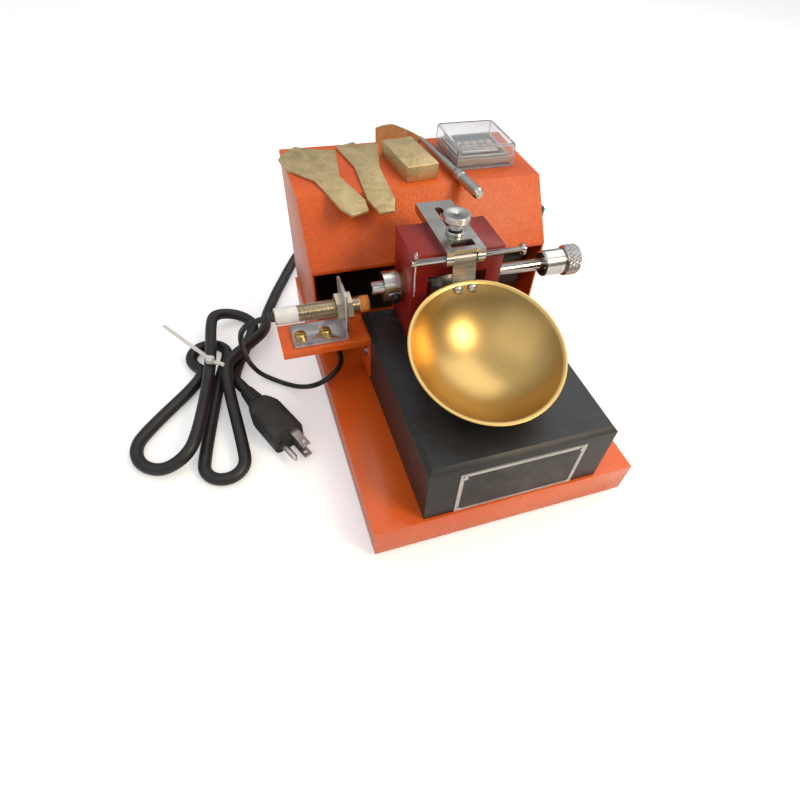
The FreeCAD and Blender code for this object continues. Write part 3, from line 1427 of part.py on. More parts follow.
def plug_parts(rear, way):
    # A moulded plug: ribbed boot, tapered body, two flat blades and a round earth pin.
    boot = Part.makeCone(float(s.cord_r) + 0.9, 7.5, PLUG_BOOT)
    half_w, half_t = PLUG_WIDE / 2, PLUG_THICK / 2

    def section(scale_w, scale_t, z):
        w, t, c = half_w * scale_w, half_t * scale_t, 3.5
        corners = [(-w + c, -t), (w - c, -t), (w, -t + c), (w, t - c), (w - c, t), (-w + c, t),
                   (-w, t - c), (-w, -t + c)]
        ring = [Vector(u, v, z) for u, v in corners]
        return Part.makePolygon(ring + [ring[0]])

    body = Part.makeLoft([section(0.66, 0.84, PLUG_BOOT - 2), section(1, 1, PLUG_BOOT + 10),
                          section(1, 1, PLUG_BOOT + PLUG_LONG)], True, True)
    whole = boot.fuse(body).removeSplitter()
    whole = whole.cut(blade_shapes(0.05))
    where = Placement(rear, turn_to(way))
    shaped("mains_plug", whole, where)
    shaped("plug_blades", blade_shapes(0.0), where)


def turn_to(way):
    # Local Z goes along the plug, local X lies level across it.
    across = Vector(way.y, -way.x, 0).normalize()
    return Rotation(across, way.cross(across), way, "ZXY")


def blade_shapes(grow):
    end = PLUG_BOOT + PLUG_LONG
    inside = 8.0
    blades = []
    for side in (-1, 1):
        y = side * 6.3
        wide, thick = 6.4 + 2 * grow, 1.5 + 2 * grow
        corner = Vector(-4.5 - wide / 2, y - thick / 2, end - inside - grow)
        blade = Part.makeBox(wide, thick, inside + BLADE_LONG + grow, corner)
        hole = Part.makeCylinder(1.5, 4, Vector(-4.5, y - 2, end + BLADE_LONG - 4), Vector(0, 1, 0))
        blades.append(blade.cut(hole))
    pin_r = 2.4 + grow
    pin = Part.makeCylinder(pin_r, inside + BLADE_LONG - 1, Vector(6.5, 0, end - inside - grow))
    tip = Part.makeCone(pin_r, pin_r * 0.45, 3, Vector(6.5, 0, end + BLADE_LONG - 1 - grow))
    blades.append(pin.fuse(tip).removeSplitter())
    return Part.makeCompound(blades)


# Outlines of the two grooving tools, seen from above where they lie
WIDE_TOOL = [
    (-95.5, 117.5), (-89, 128.5), (-80, 136.5), (-72, 131), (-51.2, 125.5), (-57.3, 83),
    (-48.1, 46.5), (-49.6, 33), (-61.4, 28.8), (-67, 38.8), (-76, 79.3), (-92.3, 100.3),
]
NARROW_TOOL = [
    (-49.5, 131), (-34.4, 137.5), (-31.5, 131.5), (-15.2, 132.5), (-25.4, 92.1),
    (-27.9, 44.6), (-32.8, 29), (-43.4, 28.6), (-46.6, 47.1), (-43.7, 95.7),
]


def flat_tool(label, outline, z):
    # A brass plate cut to an outline.
    face = Part.Face(Part.makePolygon([Vector(x, y, z) for x, y in outline + outline[:1]]))
    shaped(label, face.extrude(Vector(0, 0, float(s.tool_thick))))


def tool_parts():
    # Two grooving tools, a gauge block and a curved tool lie loose on the housing.
    rest = float(house_top + s.lift_gap)
    flat_tool("grooving_tool_wide", WIDE_TOOL, rest)
    flat_tool("grooving_tool_narrow", NARROW_TOOL, rest)
    gauge = Part.makeBox(float(s.gauge_wide), float(s.gauge_long), float(s.gauge_high))
    turn = Rotation(Vector(0, 0, 1), 7)
    shaped("gauge_block", gauge, Placement(Vector(-12.0, 67.4, rest), turn))

    # The curved tool: a brass blade bent to part of a ring, and a round chromed handle.
    handle_r = float(s.handle_r)
    grip_r = float(s.handle_grip_r)
    low = rest + grip_r
    end = Vector(29.8, 33, low)
    neck = Vector(19.2, 126, low)
    way = neck - end
    long = way.Length
    profile = [(0, 0), (grip_r * 0.7, 0.6), (grip_r, 2.4), (grip_r, 24), (grip_r - 0.7, 24.8),
               (grip_r - 0.7, 26),
               (grip_r, 26.8), (grip_r, 33), (handle_r, 36), (handle_r * 0.62, long), (0, long)]
    ring = Part.makePolygon([Vector(r, 0, z) for r, z in profile] + [Vector(0, 0, 0)])
    handle = Part.Face(ring).revolve(Vector(), Vector(0, 0, 1), 360)
    shaped("curved_tool_handle", handle, Placement(end, Rotation(Vector(0, 0, 1), way)))
    start, end = Vector(18.6, 129.5, rest), Vector(-17.0, 134.5, rest)
    chord = end - start
    back = Vector(chord.y, -chord.x, 0).normalize()
    bulge = 7.5
    thick = 1.6
    crown = start + chord * 0.5 + back * bulge
    rim = Part.Arc(start, crown, end).toShape()
    inner = Part.Arc(end + back * -thick, crown - back * thick, start - back * thick).toShape()
    sides = [Part.LineSegment(end, end - back * thick).toShape(),
             Part.LineSegment(start - back * thick, start).toShape()]
    blade = Part.Face(Part.Wire([rim, sides[0], inner, sides[1]])).extrude(Vector(0, 0, 12))
    fall = Part.makeBox(40, 60, 20)
    fall.Placement = Placement(Vector(-2, 100, rest + 12), Rotation(Vector(0, 1, 0), 18))
    blade = blade.cut(fall)
    post = Part.makeCylinder(1.5, 4.5, neck, way)
    shaped("curved_tool_blade", blade.fuse(post).removeSplitter())


tray_parts()
block_parts()
label_parts()
housing_parts()
bracket_parts()
plate_parts()
clamp_part()
cup_parts()
cam_parts()
follower_part()
shaft_parts()
drive_parts()
shelf_parts()
sensor_end = sensor_parts()
counter_parts()
switch_parts()
inner_parts()
gland_end = gland_part()
cord_parts(gland_end, sensor_end)
tool_parts()

doc.recompute()
for thing in doc.Objects:
    if "Invalid" in thing.State or "Error" in thing.State:
        raise RuntimeError("%s (%s) failed: %s" % (thing.Name, thing.Label, thing.State))
os.makedirs("parts", exist_ok=True)
for thing in pieces:
    shape = thing.Shape
    if shape.isNull() or not shape.isValid():
        raise RuntimeError("%s has no sound shape" % thing.Label)
for thing in pieces:
    thing.Shape.exportStep(os.path.join("parts", thing.Label + ".step"))
print("%d pieces written" % len(pieces))
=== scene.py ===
import json
import math
import bpy
from mathutils import Matrix, Vector

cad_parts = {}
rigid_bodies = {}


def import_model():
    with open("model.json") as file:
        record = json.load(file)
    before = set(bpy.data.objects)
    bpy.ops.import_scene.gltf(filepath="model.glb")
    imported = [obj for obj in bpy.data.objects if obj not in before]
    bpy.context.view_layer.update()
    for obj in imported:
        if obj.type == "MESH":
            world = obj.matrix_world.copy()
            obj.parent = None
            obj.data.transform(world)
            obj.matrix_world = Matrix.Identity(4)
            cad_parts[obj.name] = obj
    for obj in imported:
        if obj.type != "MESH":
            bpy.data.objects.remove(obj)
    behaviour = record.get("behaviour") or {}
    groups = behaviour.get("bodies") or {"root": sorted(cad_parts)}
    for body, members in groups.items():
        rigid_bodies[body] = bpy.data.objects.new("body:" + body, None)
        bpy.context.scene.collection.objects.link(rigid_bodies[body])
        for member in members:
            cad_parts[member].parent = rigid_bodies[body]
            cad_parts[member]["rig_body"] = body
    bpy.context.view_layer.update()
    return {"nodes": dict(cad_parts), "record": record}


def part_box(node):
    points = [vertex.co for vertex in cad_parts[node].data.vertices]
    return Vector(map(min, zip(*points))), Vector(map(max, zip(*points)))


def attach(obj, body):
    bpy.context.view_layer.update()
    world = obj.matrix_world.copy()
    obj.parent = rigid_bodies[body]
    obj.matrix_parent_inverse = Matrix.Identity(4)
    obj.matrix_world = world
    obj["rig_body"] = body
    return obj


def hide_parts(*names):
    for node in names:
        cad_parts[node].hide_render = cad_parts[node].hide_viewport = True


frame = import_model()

print("frame loaded:", len(frame["nodes"]), "nodes")

mm = 0.001


def metres(x, y, z):
    return Vector((x, y, z)) * mm


# camera: one lens and one place, read off the edges of the tray and block
view = {
    "eye": (-130.97, -283.10, 316.0),
    "yaw": -0.398,
    "pitch": 0.896,
    "roll": 0.096,
    "lens": 22.902,
    "shiftX": -0.0241,
    "shiftY": 0.0456,
    "sensor": 36,
    "nearest": 0.01,
}


def placeCamera():
    yaw, pitch = view["yaw"], view["pitch"]
    ahead = Vector((math.sin(-yaw) * math.cos(pitch), math.cos(yaw) * math.cos(pitch),
                    -math.sin(pitch)))
    right = ahead.cross(Vector((0, 0, 1))).normalized()
    up = right.cross(ahead)
    c, s = math.cos(view["roll"]), math.sin(view["roll"])
    right, up = right * c + up * s, -right * s + up * c
    eye = metres(*view["eye"])
    data = bpy.data.cameras.new("photoCamera")
    data.sensor_width = view["sensor"]
    data.lens = view["lens"]
    data.shift_x = view["shiftX"]
    data.shift_y = view["shiftY"]
    data.clip_start = view["nearest"]
    camera = bpy.data.objects.new("photoCamera", data)
    camera.matrix_world = Matrix(((right.x, up.x, -ahead.x, eye.x),
                                  (right.y, up.y, -ahead.y, eye.y),
                                  (right.z, up.z, -ahead.z, eye.z), (0, 0, 0, 1)))
    bpy.context.scene.collection.objects.link(camera)
    bpy.context.scene.camera = camera


placeCamera()
print("camera placed")


# materials: every finish starts here, and reads Object coordinates in metres
class Finish:
    def __init__(self, name, colour, rough, metal=0.0, coat=0.0, coatRough=0.08,
                 specular=0.5):
        self.material = bpy.data.materials.new(name)
        self.material.use_nodes = True
        tree = self.material.node_tree
        self.nodes, self.links = tree.nodes, tree.links
        self.shader = self.nodes["Principled BSDF"]
        self.put("Base Color", (*colour, 1))
        self.put("Roughness", rough)
        self.put("Metallic", metal)
        self.put("Coat Weight", coat)
        self.put("Coat Roughness", coatRough)
        self.put("Specular IOR Level", specular)
        self.place = self.nodes.new("ShaderNodeTexCoord").outputs["Object"]
        self.height = None

    def put(self, name, value):
        self.shader.inputs[name].default_value = value

    def node(self, kind, **settings):
        made = self.nodes.new(kind)
        for key, value in settings.items():
            setattr(made, key, value)
        return made

    def feed(self, socket, value):
        if isinstance(value, bpy.types.NodeSocket):
            self.links.new(value, socket)
        else:
            socket.default_value = value

    def stretched(self, stretch):
        move = self.node("ShaderNodeMapping", vector_type="TEXTURE")
        self.feed(move.inputs["Vector"], self.place)
        move.inputs["Scale"].default_value = stretch
        return move.outputs["Vector"]

    def noise(self, scale, detail, rough=0.55, stretch=None, warp=0.0):
        made = self.node("ShaderNodeTexNoise")
        self.feed(made.inputs["Vector"], self.stretched(stretch) if stretch else self.place)
        made.inputs["Scale"].default_value = scale
        made.inputs["Detail"].default_value = detail
        made.inputs["Roughness"].default_value = rough
        made.inputs["Distortion"].default_value = warp
        return made.outputs["Fac"]

    def cells(self, scale, feature="SMOOTH_F1", output="Distance"):
        made = self.node("ShaderNodeTexVoronoi", feature=feature)
        self.feed(made.inputs["Vector"], self.place)
        made.inputs["Scale"].default_value = scale
        return made.outputs[output]

    def waves(self, scale, direction, warp=0.0):
        made = self.node("ShaderNodeTexWave", bands_direction=direction)
        self.feed(made.inputs["Vector"], self.place)
        made.inputs["Scale"].default_value = scale
        made.inputs["Distortion"].default_value = warp
        return made.outputs["Fac"]

    def sum(self, operation, a, b):
        made = self.node("ShaderNodeMath", operation=operation)
        self.feed(made.inputs[0], a)
        self.feed(made.inputs[1], b)
        return made.outputs[0]

    def ramp(self, value, *stops):
        made = self.node("ShaderNodeValToRGB")
        self.feed(made.inputs["Fac"], value)
        line = made.color_ramp
        while len(line.elements) < len(stops):
            line.elements.new(0.5)
        for element, (spot, colour) in zip(line.elements, stops):
            element.position = spot
            element.color = (*colour, 1)
        return made.outputs["Color"]

    def mix(self, amount, a, b, blend="MIX"):
        made = self.node("ShaderNodeMix", data_type="RGBA", blend_type=blend)
        self.feed(made.inputs[0], amount)
        self.feed(made.inputs[6], a)
        self.feed(made.inputs[7], b)
        return made.outputs[2]

    def band(self, axis, low, high, soft):
        # 1 between two planes across an axis, 0 outside, with a soft step
        parts = self.node("ShaderNodeSeparateXYZ")
        self.feed(parts.inputs[0], self.place)
        rise = self.node("ShaderNodeMapRange", interpolation_type="SMOOTHSTEP")
        fall = self.node("ShaderNodeMapRange", interpolation_type="SMOOTHSTEP")
        for step, edge, ends in ((rise, low, (0.0, 1.0)), (fall, high, (1.0, 0.0))):
            self.feed(step.inputs["Value"], parts.outputs[axis])
            step.inputs["From Min"].default_value = edge - soft
            step.inputs["From Max"].default_value = edge + soft
            step.inputs["To Min"].default_value = ends[0]
            step.inputs["To Max"].default_value = ends[1]
        return self.sum("MULTIPLY", rise.outputs[0], fall.outputs[0])

    def colour(self, value):
        self.feed(self.shader.inputs["Base Color"], value)

    def tint(self, value, low, high, start=0.3, end=0.7):
        # base colour that runs between two tones of the finish
        self.colour(self.ramp(value, (start, low), (end, high)))

    def gloss(self, value, low, high):
        span = self.node("ShaderNodeMapRange")
        self.feed(span.inputs["Value"], value)
        span.inputs["To Min"].default_value = low
        span.inputs["To Max"].default_value = high
        self.feed(self.shader.inputs["Roughness"], span.outputs[0])

    def bump(self, height, distance, strength=1.0):
        made = self.node("ShaderNodeBump")
        self.feed(made.inputs["Height"], height)
        made.inputs["Distance"].default_value = distance
        made.inputs["Strength"].default_value = strength
        if self.height:
            self.feed(made.inputs["Normal"], self.height)
        self.height = made.outputs["Normal"]
        self.feed(self.shader.inputs["Normal"], self.height)


def hammeredPaint():
    # orange hammer paint: shallow dimples a millimetre or two across, glossy between
    look = Finish("orangeHammered", (0.66, 0.10, 0.009), 0.34, specular=0.4, coat=0.12,
                  coatRough=0.22)
    dimples = look.cells(1050)
    patches = look.noise(420, 3)
    look.bump(look.sum("ADD", dimples, look.sum("MULTIPLY", patches, 0.7)), 0.0007, 0.5)
    look.bump(look.noise(150, 3), 0.0006, 0.35)
    tone = look.mix(0.35, look.noise(24, 3), look.noise(420, 4))
    look.tint(tone, (0.60, 0.075, 0.006), (0.78, 0.130, 0.010), 0.34, 0.66)
    look.gloss(dimples, 0.24, 0.42)
    return look.material


def glossPaint():
    look = Finish("orangeGloss", (0.80, 0.11, 0.013), 0.3, specular=0.4, coat=0.18, coatRough=0.1)
    peel = look.noise(260, 2)
    look.bump(peel, 0.0004, 0.35)
    look.tint(look.noise(16, 4), (0.74, 0.105, 0.011), (0.84, 0.142, 0.018))
    look.gloss(look.noise(40, 3), 0.22, 0.34)
    return look.material


def redPaint():
    look = Finish("bracketRed", (0.21, 0.010, 0.008), 0.38, specular=0.35, coat=0.14,
                  coatRough=0.15)
    look.bump(look.noise(420, 3), 0.0004, 0.45)
    look.bump(look.cells(900), 0.0002, 0.3)
    look.tint(look.noise(30, 4), (0.20, 0.009, 0.008), (0.32, 0.019, 0.013))
    look.gloss(look.noise(60, 3), 0.28, 0.44)
    return look.material


def hardRubber():
    # pressed black block: satin, with fine grey wipe marks
    look = Finish("blockBlack", (0.020, 0.021, 0.023), 0.46, specular=0.5)
    wipes = look.noise(45, 5, stretch=(1, 0.25, 1), warp=0.6)
    look.tint(wipes, (0.011, 0.012, 0.014), (0.021, 0.023, 0.027), 0.3, 0.75)
    look.gloss(look.noise(70, 4), 0.36, 0.52)
    look.bump(look.noise(1300, 3), 0.00012, 0.4)
    return look.material


def softRubber():
    # the pad under the tray, and the grommet
    look = Finish("padRubber", (0.022, 0.022, 0.022), 0.85)
    look.tint(look.noise(200, 3), (0.014, 0.014, 0.014), (0.035, 0.034, 0.033))
    look.bump(look.noise(1600, 3), 0.0002, 0.5)
    return look.material


def zincSheet():
    # spangled zinc: the sensor's bracket, and the sheet parts out of sight
    look = Finish("zincSheet", (0.58, 0.59, 0.60), 0.36, metal=1.0)
    spangle = look.cells(160, "F1", "Color")
    grey = look.node("ShaderNodeRGBToBW")
    look.feed(grey.inputs[0], spangle)
    look.tint(grey.outputs[0], (0.48, 0.49, 0.50), (0.68, 0.69, 0.70), 0.1, 0.9)
    look.gloss(grey.outputs[0], 0.28, 0.46)
    look.bump(look.noise(900, 3, stretch=(6, 1, 1)), 0.00008, 0.4)
    return look.material


def platedNickel():
    # polished plate: a mirror with faint grinding lines and finger haze
    look = Finish("platedNickel", (0.60, 0.585, 0.56), 0.14, metal=1.0)
    lines = look.noise(500, 3, stretch=(30, 1, 1))
    haze = look.noise(55, 4, warp=0.8)
    look.tint(haze, (0.52, 0.505, 0.48), (0.66, 0.645, 0.62))
    look.gloss(look.sum("MULTIPLY", lines, haze), 0.12, 0.46)
    look.bump(lines, 0.00004, 0.35)
    return look.material


def turnedSteel(name, colour, rough, axisLetter):
    # rings left by the lathe tool, round the axis of the piece
    look = Finish(name, colour, rough, metal=1.0)
    rings = look.waves(900, axisLetter, warp=1.2)
    haze = look.noise(120, 4)
    look.tint(haze, tuple(c * 0.86 for c in colour), tuple(min(1, c * 1.1) for c in colour))
    look.gloss(look.sum("MULTIPLY", haze, rings), rough * 0.7, rough * 1.7)
    look.bump(rings, 0.00003, 0.5)
    return look.material


def brushedSteel():
    look = Finish("brushedSteel", (0.55, 0.55, 0.55), 0.34, metal=1.0)
    lines = look.noise(420, 4, stretch=(12, 1, 1))
    look.tint(lines, (0.46, 0.46, 0.46), (0.63, 0.63, 0.62))
    look.gloss(lines, 0.26, 0.46)
    look.bump(lines, 0.00005, 0.5)
    return look.material


def brushedStrip():
    # the cup's strip, brushed across its width
    look = Finish("brushedStrip", (0.40, 0.39, 0.375), 0.42, metal=0.8)
    lines = look.noise(1500, 3, stretch=(40, 1, 1))
    look.tint(lines, (0.25, 0.245, 0.235), (0.54, 0.53, 0.51), 0.38, 0.62)
    look.gloss(lines, 0.34, 0.5)
    look.bump(lines, 0.0002, 0.7)
    return look.material


def screwMetal(name, colour, rough, tones, shine, scales, metal=1.0):
    # small turned hardware, mottled a little by handling
    look = Finish(name, colour, rough, metal=metal)
    look.tint(look.noise(scales[0], 4), *tones)
    look.gloss(look.noise(scales[1], 3), *shine)
    look.bump(look.noise(scales[2], 2), 0.00005, 0.4)
    return look.material


def bushBronze():
    look = Finish("bushBronze", (0.42, 0.25, 0.11), 0.38, metal=1.0)
    look.tint(look.cells(900), (0.32, 0.18, 0.08), (0.50, 0.31, 0.15), 0.1, 0.5)
    look.gloss(look.noise(300, 4), 0.3, 0.5)
    look.bump(look.noise(1700, 3), 0.00006, 0.5)
    return look.material


def satinBrass():
    # spun cup: even satin gold, with very fine rings and a few soft clouds
    look = Finish("cupBrass", (0.62, 0.42, 0.16), 0.25, metal=1.0)
    grain = look.noise(1500, 3)
    cloud = look.noise(26, 4, warp=0.5)
    tone = look.mix(0.6, cloud, grain)
    look.tint(tone, (0.57, 0.375, 0.13), (0.66, 0.455, 0.18), 0.3, 0.7)
    look.gloss(tone, 0.27, 0.34)
    look.bump(grain, 0.00004, 0.55)
    return look.material


def stainedBrass():
    # cut tool brass, dull and mottled brown where it was handled
    look = Finish("toolBrass", (0.46, 0.34, 0.16), 0.46, metal=0.65)
    stain = look.noise(48, 6, 0.7, warp=1.4)
    fleck = look.noise(420, 5, 0.7)
    tone = look.mix(0.4, stain, fleck)
    look.colour(look.ramp(tone, (0.30, (0.36, 0.25, 0.12)), (0.45, (0.55, 0.42, 0.21)),
                          (0.58, (0.66, 0.54, 0.30)), (0.76, (0.76, 0.66, 0.43))))
    look.gloss(stain, 0.34, 0.62)
    look.bump(look.noise(700, 4, stretch=(1, 5, 1)), 0.0001, 0.5)
    return look.material


# name plate: how far in its border and the line beside it reach, in metres
plateBorder = {"border": 0.0016, "line": 0.0026, "soft": 0.0002}


def plateMetal():
    # dark printed field inside a bare silver border, with no lettering
    look = Finish("namePlate", (0.12, 0.12, 0.12), 0.38, metal=0.8)
    low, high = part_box("name_plate")
    masks = []
    for edge in (plateBorder["border"], plateBorder["line"]):
        bands = [look.band(axis, low[axis] + edge, high[axis] - edge, plateBorder["soft"])
                 for axis in (0, 2)]
        masks.append(look.sum("MULTIPLY", *bands))
    inside, outer = masks
    lines = look.noise(500, 3, stretch=(14, 1, 1))
    silver = look.ramp(lines, (0.3, (0.42, 0.42, 0.42)), (0.7, (0.62, 0.62, 0.61)))
    dark = look.ramp(look.noise(70, 5), (0.3, (0.030, 0.031, 0.033)),
                     (0.72, (0.075, 0.076, 0.079)))
    field = look.mix(inside, silver, dark)
    line = look.sum("SUBTRACT", inside, outer)
    look.colour(look.mix(line, field, silver))
    look.gloss(look.noise(120, 4), 0.3, 0.46)
    look.bump(lines, 0.00005, 0.4)
    look.bump(inside, 0.00006, 0.6)
    return look.material


def mouldedPlastic(name, low, high, rough=0.42, scale=900):
    look = Finish(name, low, rough)
    look.tint(look.noise(60, 4), low, high)
    look.gloss(look.noise(140, 3), rough * 0.85, rough * 1.25)
    look.bump(look.noise(scale, 3), 0.0001, 0.4)
    return look.material


def cordRubber():
    look = Finish("cordRubber", (0.020, 0.020, 0.021), 0.42, specular=0.55)
    look.tint(look.noise(85, 4), (0.006, 0.006, 0.007), (0.016, 0.016, 0.018))
    look.gloss(look.noise(120, 4), 0.34, 0.56)
    look.bump(look.noise(700, 4), 0.0002, 0.5)
    return look.material


def beltRubber():
    look = Finish("beltRubber", (0.018, 0.018, 0.018), 0.7)
    look.tint(look.noise(300, 3), (0.011, 0.011, 0.011), (0.032, 0.032, 0.032))
    look.bump(look.waves(420, "DIAGONAL"), 0.0002, 0.5)
    return look.material


def clearMoulding(name, colour, rough, through, bend, tones, shine):
    # moulded clear plastic; the lower its index, the less its walls bend the light
    look = Finish(name, colour, rough)
    look.put("Transmission Weight", through)
    look.put("IOR", bend)
    look.tint(look.noise(tones[0], 2), *tones[1:])
    look.gloss(look.noise(60, 3), *shine)
    return look.material


def counterGrey():
    look = Finish("counterPanel", (0.17, 0.21, 0.225), 0.45)
    look.tint(look.noise(80, 4), (0.145, 0.185, 0.20), (0.20, 0.245, 0.26))
    look.gloss(look.noise(140, 3), 0.38, 0.55)
    look.bump(look.noise(1100, 3), 0.0001, 0.4)
    return look.material


def boardGreen():
    look = Finish("boardGreen", (0.010, 0.024, 0.014), 0.4)
    tracks = look.cells(420, "F1", "Color")
    base = look.ramp(look.noise(90, 3), (0.4, (0.006, 0.018, 0.010)),
                     (0.6, (0.014, 0.034, 0.020)))
    look.colour(look.mix(0.2, base, tracks, "SOFT_LIGHT"))
    look.bump(look.cells(520), 0.0002, 0.5)
    return look.material


finishes = {
    "orange_hammered": hammeredPaint(),
    "orange_gloss": glossPaint(),
    "red_paint": redPaint(),
    "hard_rubber": hardRubber(),
    "soft_rubber": softRubber(),
    "zinc_sheet": zincSheet(),
    "nickel": platedNickel(),
    "steel": brushedSteel(),
    "brushed_strip": brushedStrip(),
    "screw_steel": screwMetal("screwSteel", (0.60, 0.60, 0.58), 0.26,
                              ((0.50, 0.50, 0.49), (0.68, 0.68, 0.66)), (0.18, 0.38),
                              (240, 500, 1500)),
    "black_oxide": screwMetal("blackOxide", (0.035, 0.034, 0.034), 0.36,
                              ((0.022, 0.022, 0.023), (0.06, 0.058, 0.056)), (0.28, 0.48),
                              (300, 160, 1500), 0.75),
    "bronze": bushBronze(),
    "cup_brass": satinBrass(),
    "tool_brass": stainedBrass(),
    "screw_brass": screwMetal("screwBrass", (0.66, 0.45, 0.16), 0.28,
                              ((0.52, 0.34, 0.11), (0.76, 0.55, 0.24)), (0.2, 0.42),
                              (260, 400, 1400)),
    "knurl_steel": turnedSteel("knurlSteel", (0.46, 0.46, 0.46), 0.34, "X"),
    "clamp_steel": turnedSteel("clampSteel", (0.56, 0.55, 0.53), 0.24, "Z"),
    "label_metal": plateMetal(),
    "black_plastic": mouldedPlastic("blackPlastic", (0.014, 0.014, 0.015), (0.032, 0.032, 0.034)),
    "black_cord": cordRubber(),
    "belt_rubber": beltRubber(),
    "motor_black": mouldedPlastic("motorBlack", (0.02, 0.02, 0.021), (0.045, 0.045, 0.047),
                                  0.5, 500),
    "key_grey": mouldedPlastic("keyPale", (0.62, 0.63, 0.60), (0.74, 0.75, 0.72), 0.5),
    "panel_pale": mouldedPlastic("panelPale", (0.25, 0.27, 0.26), (0.33, 0.35, 0.33), 0.45),
    "frame_pale": mouldedPlastic("framePale", (0.46, 0.41, 0.36), (0.56, 0.50, 0.44), 0.45),
    "green_plastic": mouldedPlastic("greenRocker", (0.01, 0.40, 0.14), (0.03, 0.55, 0.22), 0.2),
    "clear_plastic": clearMoulding("dustClear", (0.95, 0.95, 0.98), 0.03, 0.93, 1.27,
                                   (14, (0.93, 0.93, 0.97), (0.98, 0.98, 1.0)), (0.01, 0.05)),
    "orange_plastic": mouldedPlastic("sensorOrange", (0.72, 0.22, 0.03), (0.86, 0.31, 0.05), 0.4),
    "sensor_metal": turnedSteel("sensorBarrel", (0.56, 0.49, 0.37), 0.27, "X"),
    "white_nylon": mouldedPlastic("whiteNylon", (0.66, 0.66, 0.64), (0.80, 0.80, 0.78), 0.45),
}
print("finishes made:", len(finishes))

slotOf = {row["node"]: row["material_slot"] for row in frame["record"]["subparts"]}
for name, obj in frame["nodes"].items():
    obj.data.materials.clear()
    obj.data.materials.append(finishes[slotOf[name]])
for name, finish in (("counter_body", counterGrey()), ("control_board", boardGreen())):
    frame["nodes"][name].data.materials[0] = finish


def dress(obj, finish, body):
    # finish, body and material slot of a new piece
    obj.data.materials.clear()
    obj.data.materials.append(finishes[finish] if isinstance(finish, str) else finish)
    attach(obj, body)
    return obj


# cords: the same points as the CAD route, in millimetres
lead = {
    "diameter": 9.2,
    "exit": (5, 158.25, 44),
    "route": [(5, 172, 43.6), (-0.2, 193.1, 40.9), (-13, 210.1, 35.6), (-31.2, 220.2, 28.6),
              (-55.2, 222, 19.9), (-80, 210.6, 11.5), (-96.1, 187.5, 6.4), (-104, 173, 5),
              (-112, 158, 4.8), (-122, 135, 4.8)],
    "runOn": 14,
    "climb": [(-130, 101, 8.0), (-139.5, 81, 15.0)],
    "waist": (-174.5, 52.0),
    "heading": 240.0,
    "lane": 10.4,
    "entry": (0.75, 17.0, -16),
    "lanes": [(0.5, 16.0), (0, 6.3), (-1, 6.3), (-0.5, 16.0), (1, 6.3)],
    "sweep": 216,
    "loops": [(267, 106, 15.5, -1, [8.5, 5.6, 4.8, 4.8, 4.8, 4.8]),
              (104, 44, 16, 1, [4.8, 4.8, 4.8, 4.8, 4.8, 4.8]),
              (236, 100, 24, 1, [4.8, 4.8, 4.8, 5.6, 11.8, 16.6]),
              (74, 80, 18, -1, [16.0, 14.0, 9.0, 5.0, 4.8, 4.8])],
    "plugRear": (-155.5, 24.0, 10.8),
    "plugHeading": 293.0,
    "plugRun": 12,
    "length": 1.075,
}


def headingWays(heading):
    # ahead and to the left, for a heading in degrees on the bench
    angle = math.radians(heading)
    ahead = Vector((math.cos(angle), math.sin(angle), 0))
    return ahead, Vector((-ahead.y, ahead.x, 0))


def lanePoint(lane, z, along=0.0):
    # a point on one of the passes through the tie
    ahead, side = headingWays(lead["heading"])
    return Vector((*lead["waist"], z)) + side * (lane * lead["lane"]) + ahead * along


def loopPoints(heading, reach, radius, firstSide, heights):
    # one folded end of the hank, as an arc of points
    ahead, side = headingWays(heading)
    centre = Vector((*lead["waist"], 0)) + ahead * (reach - radius)
    points = []
    for n, z in enumerate(heights):
        share = lead["sweep"] * n / (len(heights) - 1)
        turn = math.radians(share - lead["sweep"] / 2) * firstSide
        point = centre + ahead * (radius * math.cos(turn)) + side * (radius * math.sin(turn))
        points.append(point + Vector((0, 0, z)))
    return points


def softLine(name, points, diameter):
    # one smooth spline with the route's points as its control points
    data = bpy.data.curves.new(name, "CURVE")
    data.dimensions = "3D"
    line = data.splines.new("NURBS")
    line.points.add(len(points) - 1)
    for spot, point in zip(line.points, points):
        spot.co = (*(Vector(point) * mm), 1)
    line.order_u = 3
    line.use_endpoint_u = True
    line.resolution_u = 8
    data.bevel_depth = diameter * mm / 2
    data.bevel_resolution = 7
    data.use_fill_caps = True
    data.resolution_u = 8
    obj = bpy.data.objects.new(name, data)
    bpy.context.scene.collection.objects.link(obj)
    return obj


def leadPoints():
    ahead = headingWays(lead["plugHeading"])[0]
    rear = Vector(lead["plugRear"])
    start = Vector(lead["route"][-1])
    way = (start - Vector(lead["route"][-2])).normalized()
    points = [Vector(lead["exit"])] + [Vector(p) for p in lead["route"]]
    points += [start + way * lead["runOn"]] + [Vector(p) for p in lead["climb"]]
    points += [lanePoint(*lead["entry"]), lanePoint(*lead["lanes"][0])]
    for loop, lane in zip(lead["loops"], lead["lanes"][1:]):
        points += loopPoints(*loop)
        points.append(lanePoint(*lane))
    return points + [rear - ahead * lead["plugRun"] - Vector((0, 0, 1)), rear]


mainsLead = dress(softLine("mainsLead", leadPoints(), lead["diameter"]), "black_cord", "frame")
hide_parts("mains_cord", "mains_hank")

